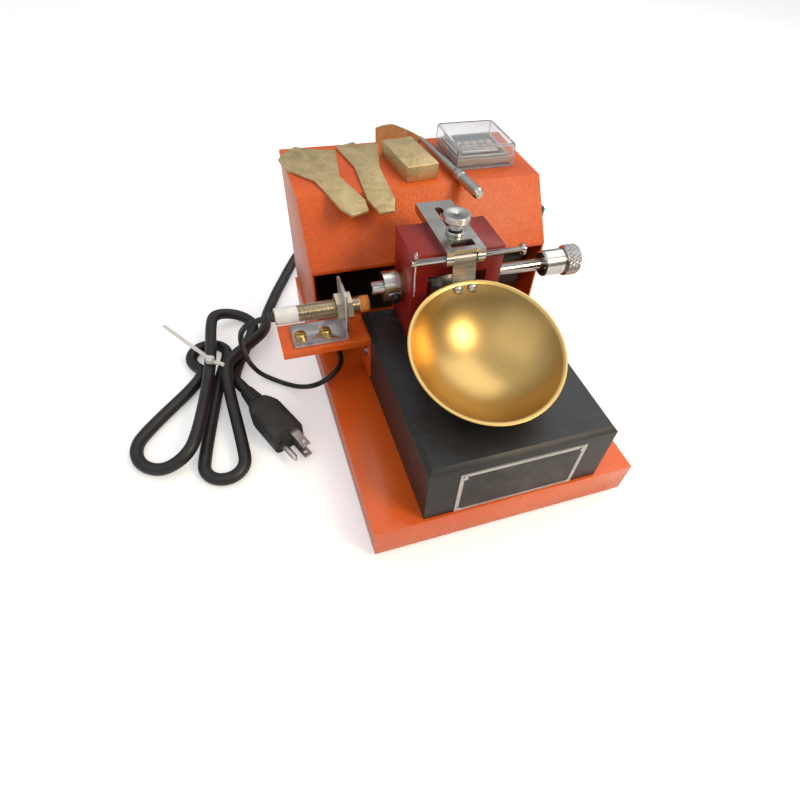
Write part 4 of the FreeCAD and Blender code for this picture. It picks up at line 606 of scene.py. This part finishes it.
sense = {
    "diameter": 4.0,
    "exit": (-128.4, 3.15, 94.5),
    "route": [(-138.4, 3.7, 92.9), (-146.4, 7.8, 84.3), (-149, 18, 68), (-150, 31, 50),
              (-150, 43, 33), (-149, 49, 17), (-143, 47, 5.5), (-131, 38, 2.6), (-119, 27, 4),
              (-110, 13, 14), (-101.3, -0.6, 28.1), (-91.4, -3.2, 36.3), (-81.4, 3.8, 39.6),
              (-78, 19, 37.5), (-79, 34.6, 36.2)],
    "end": (-80, 50, 36),
    "length": 0.255,
}
sensePoints = [sense["exit"]] + sense["route"] + [sense["end"]]
sensorLead = dress(softLine("sensorLead", sensePoints, sense["diameter"]), "black_cord", "frame")
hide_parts("sensor_cable")
print("cords laid")


# modelling: everything is deselected first, then shaped in edit mode and put in place
def clearAll():
    if bpy.context.object and bpy.context.object.mode != "OBJECT":
        bpy.ops.object.mode_set(mode="OBJECT")
    bpy.ops.object.select_all(action="DESELECT")


def pick(obj):
    clearAll()
    obj.select_set(True)
    bpy.context.view_layer.objects.active = obj


def openPiece(obj):
    pick(obj)
    bpy.ops.object.mode_set(mode="EDIT")
    bpy.ops.mesh.select_all(action="SELECT")


def closePiece():
    bpy.ops.object.mode_set(mode="OBJECT")


def startPiece(add, **settings):
    # a primitive at the origin, open for editing with all of it selected
    clearAll()
    add(location=(0, 0, 0), **settings)
    obj = bpy.context.object
    openPiece(obj)
    return obj


def grow(x, y, z=1, at=0):
    bpy.ops.transform.resize(value=(x, y, z), center_override=(0, 0, at))


def drawOut(rise):
    move = {"value": (0, 0, rise * mm)}
    bpy.ops.mesh.extrude_region_move(TRANSFORM_OT_translate=move)


def closeEnds(obj):
    bpy.ops.mesh.select_all(action="SELECT")
    bpy.ops.mesh.fill_holes(sides=0)
    closePiece()
    tidyMesh(obj)


def settle(obj, name, spot=(0, 0, 0), way=(0, 0, 1), across=None):
    # turns local Z to way and local X to across, and bakes the place into the mesh
    way = Vector(way).normalized()
    if across is None:
        turn = way.to_track_quat("Z", "Y").to_matrix()
    else:
        across = Vector(across).normalized()
        turn = Matrix((across, way.cross(across), way)).transposed()
    obj.name = obj.data.name = name
    obj.matrix_world = Matrix.Translation(Vector(spot) * mm) @ turn.to_4x4()
    pick(obj)
    bpy.ops.object.transform_apply(location=True, rotation=True, scale=True)
    return obj


# points nearer than this are merged, in metres, on a new piece and on a CAD copy
mergeGap = {"new": 0.000002, "copy": 0.0000008}
# degrees: edges that stay soft, edges that are broken, and faces that count as one flat
copyAngle = {"soft": 30, "edge": 30, "flat": 0.4}


def tidyMesh(obj):
    openPiece(obj)
    bpy.ops.mesh.remove_doubles(threshold=mergeGap["new"])
    bpy.ops.mesh.normals_make_consistent(inside=False)
    closePiece()


def soften(obj, angle=35):
    pick(obj)
    bpy.ops.object.shade_smooth_by_angle(angle=math.radians(angle))


def addModifier(obj, kind, **settings):
    pick(obj)
    made = obj.modifiers.new(kind.lower(), kind)
    for key, value in settings.items():
        setattr(made, key, value)
    bpy.ops.object.modifier_apply(modifier=made.name)


def roundEdges(obj, width, segments, angle):
    addModifier(obj, "BEVEL", width=width * mm, segments=segments, limit_method="ANGLE",
                angle_limit=math.radians(angle), harden_normals=False, use_clamp_overlap=True)


def turnedPiece(name, profile, spot, way, sides, angle):
    # a disc drawn out along its own axis, one ring for each step of (along, radius)
    obj = startPiece(bpy.ops.mesh.primitive_circle_add, vertices=sides,
                     radius=profile[0][1] * mm, fill_type="NGON")
    bpy.ops.transform.translate(value=(0, 0, profile[0][0] * mm))
    for (fromZ, fromR), (toZ, toR) in zip(profile, profile[1:]):
        drawOut(toZ - fromZ)
        grow(toR / fromR, toR / fromR, 1, toZ * mm)
    closeEnds(obj)
    settle(obj, name, spot, way)
    soften(obj, angle)
    return obj


def blockPiece(name, size, spot, bevel, segments=2, way=(0, 0, 1), across=None):
    # a block with its edges rounded
    obj = startPiece(bpy.ops.mesh.primitive_cube_add, size=1)
    grow(*(v * mm for v in size))
    bpy.ops.mesh.bevel(offset=bevel * mm, segments=segments, affect="EDGES")
    closePiece()
    return settle(obj, name, spot, way, across)


def joined(name, pieces):
    clearAll()
    for piece in pieces:
        piece.select_set(True)
    bpy.context.view_layer.objects.active = pieces[0]
    bpy.ops.object.join()
    pieces[0].name = pieces[0].data.name = name
    return pieces[0]


def smoothCopy(node, name, finish, bevel=0.0):
    # a merged and smoothed copy of a CAD piece, with its edges broken where asked
    source = frame["nodes"][node]
    obj = bpy.data.objects.new(name, source.data.copy())
    bpy.context.scene.collection.objects.link(obj)
    openPiece(obj)
    bpy.ops.mesh.remove_doubles(threshold=mergeGap["copy"])
    if bevel:
        bpy.ops.mesh.dissolve_limited(angle_limit=math.radians(copyAngle["flat"]))
    closePiece()
    if bevel:
        roundEdges(obj, bevel, 2, copyAngle["edge"])
    soften(obj, copyAngle["soft"])
    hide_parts(node)
    return dress(obj, finish, source["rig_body"])


# round pieces that catch the light
for node, name, finish in (
        ("camshaft", "camshaftBar", "nickel"), ("shaft_collar", "shaftCollar", "nickel"),
        ("hinge_pin", "hingePin", "nickel"), ("cup_hanger", "cupHanger", "brushed_strip"),
        ("cotter_pin", "cotterPin", "nickel"), ("sensor_tip", "sensorTip", "orange_plastic"),
        ("sensor_nuts", "sensorNuts", "sensor_metal"),
        ("curved_tool_blade", "curvedToolBlade", "tool_brass"),
        ("cord_gland", "cordGland", "black_plastic"),
        ("plug_blades", "plugBlades", "screw_steel"), ("set_screws", "setScrews", "black_oxide"),
        ("driven_pulley", "drivenPulley", "steel"), ("motor_pulley", "motorPulley", "steel"),
        ("gear_motor", "gearMotor", "motor_black")):
    smoothCopy(node, name, finish)
print("round pieces smoothed")

# flat pieces with their edges broken as filing or folding leaves them
for node, name, bevel in (
        ("gauge_block", "gaugeBlock", 0.5), ("grooving_tool_wide", "groovingToolWide", 0.3),
        ("grooving_tool_narrow", "groovingToolNarrow", 0.3), ("base_block", "baseBlock", 0.5),
        ("base_tray", "baseTray", 0.7), ("cam_bracket", "camBracket", 0.5),
        ("sensor_shelf", "sensorShelf", 0.4), ("sensor_bracket", "sensorBracket", 0.25),
        ("housing_shell", "housingShell", 0.5)):
    smoothCopy(node, name, slotOf[node], bevel)
print("flat pieces finished")

# proximity sensor: threaded barrel, cable cap and a blank label sleeve
sensor = {"spot": (-128.4, 3.15, 94.5), "way": (1, 0, 0), "radius": 5.96, "root": 5.3,
          "plain": 5.5, "pitch": 1.25, "threadFrom": 21.4, "threadTo": 63.1,
          "cap": [(0, 2.3), (0.5, 2.9), (1.6, 3.1), (1.8, 2.8), (2.4, 2.8), (2.6, 3.1),
                  (4.6, 3.2), (5.0, 3.2)],
          "labelSpot": (-115.4, 3.15, 94.5), "labelRadius": 5.62, "labelLong": 14.6,
          "labelThick": 0.16}


def sensorProfile():
    root, crest, plain = sensor["root"], sensor["radius"], sensor["plain"]
    profile = [(4.9, 4.2), (5.0, 5.0), (5.4, plain), (sensor["threadFrom"] - 0.4, plain)]
    along = sensor["threadFrom"]
    while along + sensor["pitch"] < sensor["threadTo"]:
        profile += [(along, root), (along + 0.42, crest), (along + 0.62, crest),
                    (along + 1.04, root)]
        along += sensor["pitch"]
    return profile + [(sensor["threadTo"], plain)]


sensorBarrel = turnedPiece("sensorBarrel", sensorProfile(), sensor["spot"], sensor["way"], 40, 25)
dress(sensorBarrel, "sensor_metal", "frame")
sensorCap = turnedPiece("sensorCap", sensor["cap"], sensor["spot"], sensor["way"], 32, 30)
dress(sensorCap, "black_plastic", "frame")
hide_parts("sensor_body")


def sleeveWhite():
    # blank paper sleeve, slightly mottled
    look = Finish("sleeveWhite", (0.74, 0.75, 0.76), 0.42, coat=0.3, coatRough=0.2)
    look.tint(look.noise(120, 4), (0.66, 0.67, 0.68), (0.82, 0.83, 0.84))
    look.gloss(look.noise(300, 3), 0.34, 0.5)
    look.bump(look.noise(900, 3), 0.00005, 0.4)
    return look.material


clearAll()
bpy.ops.mesh.primitive_cylinder_add(vertices=48, radius=sensor["labelRadius"] * mm,
                                    depth=sensor["labelLong"] * mm, end_fill_type="NOTHING",
                                    location=(0, 0, 0))
sensorLabel = settle(bpy.context.object, "sensorLabel", sensor["labelSpot"], sensor["way"])
addModifier(sensorLabel, "SOLIDIFY", thickness=sensor["labelThick"] * mm, offset=1)
soften(sensorLabel)
dress(sensorLabel, sleeveWhite(), "frame")
print("sensor modelled")

# hand knob: smooth hub, neck groove and a knurled grip
knob = {"start": 66.4, "y": -6.3, "z": 112.8, "hub": 8.95, "neck": 7.8, "grip": 10.35,
        "teeth": 26, "rows": 4, "tooth": 0.66, "knurlFrom": 17.7, "knurlLong": 9.8}


def knurledGrip():
    # rows of facets, each turned by half a tooth, with every facet drawn up to a point
    grip = startPiece(bpy.ops.mesh.primitive_circle_add, vertices=knob["teeth"],
                      radius=knob["grip"] * mm, fill_type="NOTHING")
    for row in range(knob["rows"]):
        drawOut(knob["knurlLong"] / knob["rows"])
        bpy.ops.transform.rotate(value=math.pi / knob["teeth"], orient_axis="Z",
                                 center_override=(0, 0, 0))
    bpy.ops.mesh.select_all(action="SELECT")
    bpy.ops.mesh.normals_make_consistent(inside=False)
    bpy.ops.mesh.poke(offset=knob["tooth"] * mm)
    closePiece()
    return settle(grip, "knobKnurl", (knob["start"] + knob["knurlFrom"], knob["y"], knob["z"]),
                  (1, 0, 0))


hub, neck, core = knob["hub"], knob["neck"], knob["grip"] - 0.05
knobBody = turnedPiece("knobBody", [
    (0.0, hub - 1.2), (0.7, hub - 0.5), (1.2, hub), (15.4, hub), (15.9, hub - 0.5),
    (16.0, neck), (16.7, neck), (16.9, core - 0.7), (17.6, core), (27.6, core),
    (28.4, core - 0.8), (28.7, core - 1.4), (28.55, core - 2.4), (28.55, 2.0)],
    (knob["start"], knob["y"], knob["z"]), (1, 0, 0), 72, 25)
handKnob = dress(knobBody, "nickel", "shaft")
handKnob.name = "handKnob"
dress(knurledGrip(), "knurl_steel", "shaft")
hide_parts("hand_knob")
print("knob modelled")

# screws: domed heads with their recess cut as two crossed slots
cupScrew = {"radius": 2.68, "high": 1.6, "xs": (-12.7, -3.1), "y": -41.5, "z": 128.05,
            "way": (0, -0.968, 0.251)}
footScrew = {"radius": 4.15, "high": 2.5, "xs": (-108.6, -91.1), "y": 1.2, "z": 77.4,
             "way": (0, 0, 1)}


def crossScrew(name, kind, x, finish, body, across):
    radius, high = kind["radius"], kind["high"]
    spot = Vector((x, kind["y"], kind["z"]))
    head = turnedPiece(name, [(0, radius), (high * 0.35, radius), (high * 0.7, radius * 0.86),
                              (high * 0.93, radius * 0.6), (high, radius * 0.3)],
                       spot, kind["way"], 32, 40)
    way = Vector(kind["way"]).normalized()
    side = Vector(across)
    side = (side - way * side.dot(way)).normalized()
    slotSize = (radius * 1.15, radius * 0.26, high)
    cutters = [blockPiece(name + "Cut", slotSize, spot + way * high * 1.02, 0.05, 1, way, turned)
               for turned in (side, way.cross(side))]
    for cutter in cutters:
        addModifier(head, "BOOLEAN", object=cutter, operation="DIFFERENCE", solver="EXACT")
        bpy.data.objects.remove(cutter)
    dress(head, finish, body)


for n, x in enumerate(cupScrew["xs"]):
    crossScrew("cupScrew" + "AB"[n], cupScrew, x, "screw_steel", "cup_arm", (1, 0, 0.4 + n))
smoothCopy("cup_screws", "cupScrewShanks", "screw_steel")
for n, x in enumerate(footScrew["xs"]):
    crossScrew("footScrew" + "AB"[n], footScrew, x, "screw_brass", "frame", (1, 0.5 - n, 0))
print("screws cut")

# clear dust cover: a moulded box with rounded corners, open below
cover = {"middle": (53.8, 102.0), "size": (47.6, 48.0, 16.0), "floor": 143.25, "corner": 2.4,
         "wall": 1.6, "edgeIn": 0.75, "edgeDown": 0.8, "footUp": 0.7, "blocks": 3, "apart": 12}


def dustCover():
    width, depth, high = cover["size"]
    box = startPiece(bpy.ops.mesh.primitive_cube_add, size=1)
    grow(width * mm, depth * mm, high * mm)
    closePiece()
    for face in box.data.polygons:
        face.select = face.normal.z < -0.9
    for edge in box.data.edges:
        edge.select = False
    for vert in box.data.vertices:
        vert.select = vert.co.z < 0
    bpy.ops.object.mode_set(mode="EDIT")
    bpy.ops.mesh.select_mode(type="FACE")
    bpy.ops.mesh.delete(type="ONLY_FACE")
    bpy.ops.mesh.select_mode(type="VERT")
    closePiece()
    roundEdges(box, cover["corner"], 4, 50)
    addModifier(box, "SOLIDIFY", thickness=cover["wall"] * mm, offset=-1)
    settle(box, "dustCover", (*cover["middle"], cover["floor"] + high / 2))
    soften(box, 30)
    return box


dustBox = dress(dustCover(), "clear_plastic", "cover")
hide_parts("counter_cover")


def coverEdges():
    # thick moulded corners in a whiter material that paints the highlight along the cover's
    # edges, and small blocks at the front
    x, y = cover["middle"]
    width, depth = (value / 2 - cover["edgeIn"] for value in cover["size"][:2])
    low = cover["floor"] + cover["footUp"]
    top = cover["floor"] + cover["size"][2] - cover["edgeDown"]
    made = []
    for sign in (-1, 1):
        for name, thick, z, bevel in (("edge", 0.9, top, 0.4), ("foot", 1.2, low, 0.5)):
            made.append(blockPiece(name + "X", (2 * width - 3, thick, thick),
                                   (x, y + sign * depth, z), bevel, 3))
            made.append(blockPiece(name + "Y", (thick, 2 * depth - 3, thick),
                                   (x + sign * width, y, z), bevel, 3))
        for other in (-1, 1):
            spot = (x + sign * (width - 0.5), y + other * (depth - 0.5), (low + top) / 2)
            made.append(blockPiece("edgeZ", (1.1, 1.1, top - low), spot, 0.5, 3))
    for n in range(cover["blocks"]):
        spot = (x - cover["apart"] + n * cover["apart"], y - depth - 0.45, low + 0.3)
        made.append(blockPiece("footNotch", (0.5, 0.6, 1.6), spot, 0.1, 1))
    return joined("coverEdges", made)


# whiter, less clear plastic for the corners: a painted highlight where the cover's edges catch
# the light
edgeHighlightClear = clearMoulding("edgeHighlightClear", (0.86, 0.85, 0.90), 0.16, 0.6, 1.2,
                          (40, (0.80, 0.79, 0.84), (0.90, 0.89, 0.94)), (0.1, 0.22))
dress(coverEdges(), edgeHighlightClear, "cover")

# counter face: a frame and a rim round the panel, the keys, and the window in front of them
counter = {"middle": (53.8, 102.0), "top": 150.1, "frameZ": 147.4,
           "rimReach": (19.1, 18.0), "frameReach": (20.9, 20.1)}
pads = {"pitch": 6.2, "rows": (97.0, 104.4), "count": 5, "size": (4.4, 3.8, 3.0), "low": 148.5,
        "pip": (1.5, 1.4, 0.5)}


def paleBar():
    look = Finish("paleBar", (0.62, 0.66, 0.66), 0.4)
    look.tint(look.noise(90, 3), (0.54, 0.58, 0.58), (0.68, 0.72, 0.72))
    look.bump(look.noise(900, 3), 0.00008, 0.4)
    return look.material


def fourBars(name, alongX, alongY, reach, z, bevel):
    # two bars of each size, on both sides of the counter's middle
    x, y = counter["middle"]
    bars = [blockPiece(name + "Bar", alongX, (x, y + sign * reach[1], z), bevel)
            for sign in (-1, 1)]
    bars += [blockPiece(name + "Bar", alongY, (x + sign * reach[0], y, z), bevel)
             for sign in (-1, 1)]
    return joined(name, bars)


def keyPads():
    # two rows of keys, each with a small pip on top
    made = []
    for row in pads["rows"]:
        for n in range(pads["count"]):
            x = counter["middle"][0] + (n - 2) * pads["pitch"]
            top = pads["low"] + pads["size"][2]
            middle = pads["low"] + pads["size"][2] / 2 + 0.1
            made.append(blockPiece("keyPad", pads["size"], (x, row, middle), 0.4))
            made.append(blockPiece("keyPip", pads["pip"], (x, row, top), 0.1, 1))
    return joined("counterKeys", made)


counterX, counterTop = counter["middle"][0], counter["top"]
dress(fourBars("faceRim", (39.6, 1.6, 1.2), (1.6, 37.6, 1.2), counter["rimReach"],
               counterTop + 0.3, 0.3), paleBar(), "frame")
dress(fourBars("counterFrame", (43.0, 1.5, 4.6), (1.2, 38.6, 4.6), counter["frameReach"],
               counter["frameZ"], 0.4), "frame_pale", "frame")
dress(blockPiece("keyPanel", (32.0, 19.5, 0.6), (counterX, 102.2, counterTop - 0.25), 0.1),
      "panel_pale", "frame")
counterKeys = dress(keyPads(), "key_grey", "keys")
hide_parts("counter_keys")
dress(blockPiece("windowBar", (29.0, 2.4, 1.0), (counterX, 91.0, counterTop + 0.3), 0.35),
      "key_grey", "frame")
dress(blockPiece("windowGlass", (31.0, 3.8, 0.5), (counterX, 87.2, counterTop + 0.12), 0.2),
      "black_plastic", "frame")
print("counter finished")

# mains plug: ribbed boot, body with a ribbed grip
plug = {"rear": lead["plugRear"], "long": 42.0, "wide": 25.0, "thick": 21.0, "boot": 20.0,
        "rib": 0.92, "corner": 3.2, "bootRibs": 5, "gripRibs": 8, "gripPitch": 2.3}


def bootProfile():
    # the boot widens towards the plug, and narrows after each rib
    ribs = [(0, 5.0)]
    for n in range(plug["bootRibs"]):
        at = 1.0 + n * 3.4
        size = 5.5 + n * 0.42
        ribs += [(at, size), (at + 1.7, size + 0.1), (at + 2.0, size * 0.86),
                 (at + 3.1, size * 0.88)]
    return ribs + [(19.5, 7.2)]


def plugStations():
    # place along the body, and the share of its full width and thickness there
    stations = [(0, 0.64, 0.72), (6, 0.86, 0.86), (11, 0.98, 0.97)]
    for n in range(plug["gripRibs"]):
        at = 12.5 + n * plug["gripPitch"]
        stations += [(at, plug["rib"], plug["rib"]), (at + 1.0, plug["rib"], plug["rib"]),
                     (at + 1.3, 1.0, 1.0), (at + 2.1, 1.0, 1.0)]
    return stations + [(32.5, 1.0, 1.0), (plug["long"] + 1.6, 1.0, 1.0)]


def plugPiece():
    way = headingWays(lead["plugHeading"])[0]
    across = Vector((way.y, -way.x, 0))
    boot = turnedPiece("plugBoot", bootProfile(), plug["rear"], way, 32, 40)
    halfW, halfT = plug["wide"] / 2, plug["thick"] / 2
    stations = plugStations()
    body = startPiece(bpy.ops.mesh.primitive_plane_add, size=1)
    grow(2 * halfW * stations[0][1] * mm, 2 * halfT * stations[0][2] * mm)
    bpy.ops.mesh.bevel(offset=plug["corner"] * mm, segments=4, affect="VERTICES")
    for before, after in zip(stations, stations[1:]):
        drawOut(after[0] - before[0])
        grow(after[1] / before[1], after[2] / before[2], 1, after[0] * mm)
    closeEnds(body)
    roundEdges(body, 0.4, 2, 60)
    settle(body, "plugBody", Vector(plug["rear"]) + way * (plug["boot"] - 1.6), way, across)
    soften(body, 40)
    return joined("mainsPlug", [body, boot])


plugBlack = mouldedPlastic("plugBlack", (0.016, 0.016, 0.017), (0.036, 0.036, 0.038), 0.5, 700)
mainsPlug = dress(plugPiece(), plugBlack, "frame")
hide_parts("mains_plug")

# cable tie: band round the waist of the hank, a head and a long notched tail
tie = {"wide": 3.4, "thick": 1.1, "lowZ": 0.75, "highZ": 21.7, "lowHalf": 18.9,
       "highHalf": 8.6, "round": 5.2, "tailEnd": (-215, 121, 12.6), "notch": 1.6, "plain": 4}


def cableTie():
    ahead, side = headingWays(lead["heading"])
    middle = (tie["lowZ"] + tie["highZ"]) / 2
    high = tie["highZ"] - tie["lowZ"]
    band = startPiece(bpy.ops.mesh.primitive_plane_add, size=1)
    grow(2 * tie["lowHalf"] * mm, high * mm)
    closePiece()
    for vert in band.data.vertices:
        vert.select = vert.co.y > 0
    bpy.ops.object.mode_set(mode="EDIT")
    grow(tie["highHalf"] / tie["lowHalf"], 1)
    bpy.ops.mesh.select_all(action="SELECT")
    bpy.ops.mesh.bevel(offset=tie["round"] * mm, segments=6, affect="VERTICES",
                       clamp_overlap=True)
    bpy.ops.mesh.select_all(action="SELECT")
    bpy.ops.mesh.delete(type="ONLY_FACE")
    bpy.ops.mesh.select_all(action="SELECT")
    drawOut(tie["wide"])
    closePiece()
    tidyMesh(band)
    addModifier(band, "SOLIDIFY", thickness=tie["thick"] * mm, offset=-1)
    bandSpot = Vector((*lead["waist"], middle)) - ahead * tie["wide"] / 2
    settle(band, "tieBand", bandSpot, ahead, side)
    soften(band, 40)
    spot = lanePoint(-0.4, tie["highZ"] + 1.4)
    head = blockPiece("tieHead", (5.0, 6.6, 4.2), spot, 0.6, 2, (0, 0, 1), side)
    start = spot + Vector((0, 0, 0.6))
    run = Vector(tie["tailEnd"]) - start
    along = run.normalized()
    across = Vector((-along.y, along.x, 0)).normalized()
    tail = [blockPiece("tieTail", (3.3, 1.0, run.length), start + run * 0.5, 0.25, 1, along,
                       across)]
    for n in range(tie["plain"], int(run.length / tie["notch"])):
        tail.append(blockPiece("tieNotch", (2.2, 1.25, 0.55), start + along * (n * tie["notch"]),
                               0.1, 1, along, across))
    return joined("cableTie", [band, head] + tail)


cordTie = dress(cableTie(), "white_nylon", "frame")
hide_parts("cable_tie")
print("plug and tie modelled")

# clamp screw: thumb disc on a short neck, with a ring groove at its foot
clamp = {"spot": (-7.9, -15.8, 151.05), "ringUp": 2.4, "neck": 5.3, "disc": 8.5, "high": 12.6}
footR, neckR = clamp["neck"] + 0.6, clamp["neck"] - 1.2
discR, discTop = clamp["disc"], clamp["high"]
clampScrew = turnedPiece("clampScrew", [
    (-14.3, 1.7), (-13.8, 2.2), (-0.05, 2.2), (0, footR - 0.3), (0.3, footR), (1.9, footR),
    (2.3, footR - 0.4), (2.4, neckR - 0.5), (3.5, neckR - 0.5), (3.6, neckR + 0.3),
    (4.2, neckR), (6.0, neckR), (7.2, neckR + 1.0), (8.7, discR - 0.7), (9.0, discR - 0.2),
    (9.3, discR), (discTop - 0.5, discR), (discTop - 0.1, discR - 0.4),
    (discTop, discR - 1.0), (discTop - 0.2, discR - 2.0), (discTop - 0.2, 1.2),
    (discTop - 0.5, 0.6)], clamp["spot"], (0, 0, 1), 72, 28)
clampRing = turnedPiece("clampRing", [
    (0.1, neckR - 0.6), (0.15, neckR + 0.1), (0.5, neckR + 0.3), (0.9, neckR + 0.1),
    (0.95, neckR - 0.6)], Vector(clamp["spot"]) + Vector((0, 0, clamp["ringUp"])), (0, 0, 1),
    48, 40)
dress(clampRing, "black_plastic", "clamp")
dress(clampScrew, "clamp_steel", "clamp")
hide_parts("clamp_screw")

# switch rocker: its upper end stands out, with three grip lines
rocker = {"middle": (57.0, 111.0), "wide": 12.6, "long": 11.4, "out": 97.5, "grips": 3,
          "way": (0.10, 0, 1), "across": (1, 0, -0.10)}


def rockerPiece():
    y, z = rocker["middle"]
    out, wide, long = rocker["out"], rocker["wide"], rocker["long"]
    halves = [blockPiece(name, (thick, wide, long), (out - back, y, z + up), 0.7, 3,
                         rocker["way"], rocker["across"])
              for name, thick, back, up in (("rockerUpper", 7.4, 3.75, 5.0),
                                            ("rockerLower", 6.6, 4.7, -5.0))]
    grips = [blockPiece("rockerGrip", (0.5, wide * 0.7, 0.6),
                        (out - 0.5 + n * 0.1, y, z + 3.5 + n * 1.6), 0.15, 1)
             for n in range(rocker["grips"])]
    return joined("switchRocker", halves + grips)


switchRocker = dress(rockerPiece(), "green_plastic", "rocker")
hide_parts("switch_rocker")
print("clamp and switch modelled")

# cup: one wall of a ball, inside and outside, with its rim edges just broken
cup = {"rim": (-7.9, -84.0, 115.8), "tilt": 19.0, "inner": 54.0, "wall": 2.0, "depth": 27.0,
       "steps": 26}


def spunCup():
    up = cup["inner"] - cup["depth"]
    inner, outer = cup["inner"], cup["inner"] + cup["wall"]
    tilt = math.radians(cup["tilt"])
    way = Vector((0, -math.sin(tilt), math.cos(tilt)))
    edge = cup["steps"]
    profile = []
    for radius, order in ((outer, range(1, edge + 1)), (inner, range(edge, 0, -1))):
        lowest = math.acos(up / radius)
        for n in order:
            turn = lowest * n / edge
            profile.append((up - radius * math.cos(turn), radius * math.sin(turn)))
    # the last point outside and the first inside make way for the rim's own steps
    (outerZ, outerR), innerR = profile[edge - 1], profile[edge][1]
    profile[edge - 1:edge + 1] = [(outerZ - 0.3, outerR - 0.17), (outerZ - 0.08, outerR - 0.12),
                                  (0, outerR - 0.42), (0, innerR + 1.0),
                                  (-0.25, innerR + 0.45), (-0.7, innerR - 0.33)]
    low = profile[0][0]
    return turnedPiece("brassCup", [(along - low, radius) for along, radius in profile],
                       Vector(cup["rim"]) + way * low, way, 144, 25)


brassCup = dress(spunCup(), "cup_brass", "cup_arm")
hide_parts("cup")
print("cup spun")

# floor, light and background
studio = {"floor": 0.9, "glow": 0.34, "world": 0.66,
          "lamps": (("keyLamp", (0.75, 0.35, 1.1), (0, 0, 0.08), 6.0, 1.3, (1, 1, 1)),
                    ("fillLamp", (-0.9, -0.5, 1.0), (0, 0, 0.08), 2.4, 1.5, (1, 1, 1)),
                    ("frontLamp", (0.6, -0.8, 0.9), (0, 0, 0.1), 8.0, 0.42, (1.0, 0.80, 0.50)))}


def paleFloor():
    bpy.ops.mesh.primitive_plane_add(size=7, location=(0, 0, 0))
    floor = bpy.context.object
    floor.name = "studioFloor"
    look = Finish("studioFloor", (studio["floor"],) * 3, 0.9, specular=0.1)
    paths = look.node("ShaderNodeLightPath")
    seen = look.sum("MAXIMUM", paths.outputs["Is Camera Ray"],
                    paths.outputs["Is Transmission Ray"])
    look.put("Emission Color", (1, 1, 1, 1))
    look.feed(look.shader.inputs["Emission Strength"],
              look.sum("MULTIPLY", seen, studio["glow"]))
    floor.data.materials.append(look.material)


def lamp(name, spot, target, power, size, colour):
    data = bpy.data.lights.new(name, "AREA")
    data.energy = power
    data.size = size
    data.color = colour
    obj = bpy.data.objects.new(name, data)
    obj.location = spot
    obj.rotation_euler = (Vector(target) - Vector(spot)).to_track_quat("-Z", "Y").to_euler()
    bpy.context.scene.collection.objects.link(obj)


def softWorld():
    # darker below and white above, and plain white where the camera sees it
    world = bpy.data.worlds.new("softWorld")
    bpy.context.scene.world = world
    world.use_nodes = True
    nodes, links = world.node_tree.nodes, world.node_tree.links
    sky = nodes["Background"]
    coords = nodes.new("ShaderNodeTexCoord")
    split = nodes.new("ShaderNodeSeparateXYZ")
    ramp = nodes.new("ShaderNodeValToRGB")
    links.new(coords.outputs["Generated"], split.inputs[0])
    links.new(split.outputs["Z"], ramp.inputs["Fac"])
    links.new(ramp.outputs["Color"], sky.inputs["Color"])
    ramp.color_ramp.elements[0].position = 0.0
    ramp.color_ramp.elements[0].color = (0.16, 0.165, 0.17, 1)
    ramp.color_ramp.elements[1].position = 0.8
    ramp.color_ramp.elements[1].color = (1.1, 1.1, 1.1, 1)
    sky.inputs["Strength"].default_value = studio["world"]
    white = nodes.new("ShaderNodeBackground")
    white.inputs["Color"].default_value = (1, 1, 1, 1)
    paths = nodes.new("ShaderNodeLightPath")
    pickSky = nodes.new("ShaderNodeMixShader")
    links.new(paths.outputs["Is Camera Ray"], pickSky.inputs[0])
    links.new(sky.outputs[0], pickSky.inputs[1])
    links.new(white.outputs[0], pickSky.inputs[2])
    links.new(pickSky.outputs[0], nodes["World Output"].inputs[0])


paleFloor()
softWorld()
for setting in studio["lamps"]:
    lamp(*setting)
bpy.context.scene.view_settings.view_transform = "Standard"

bpy.context.view_layer.update()
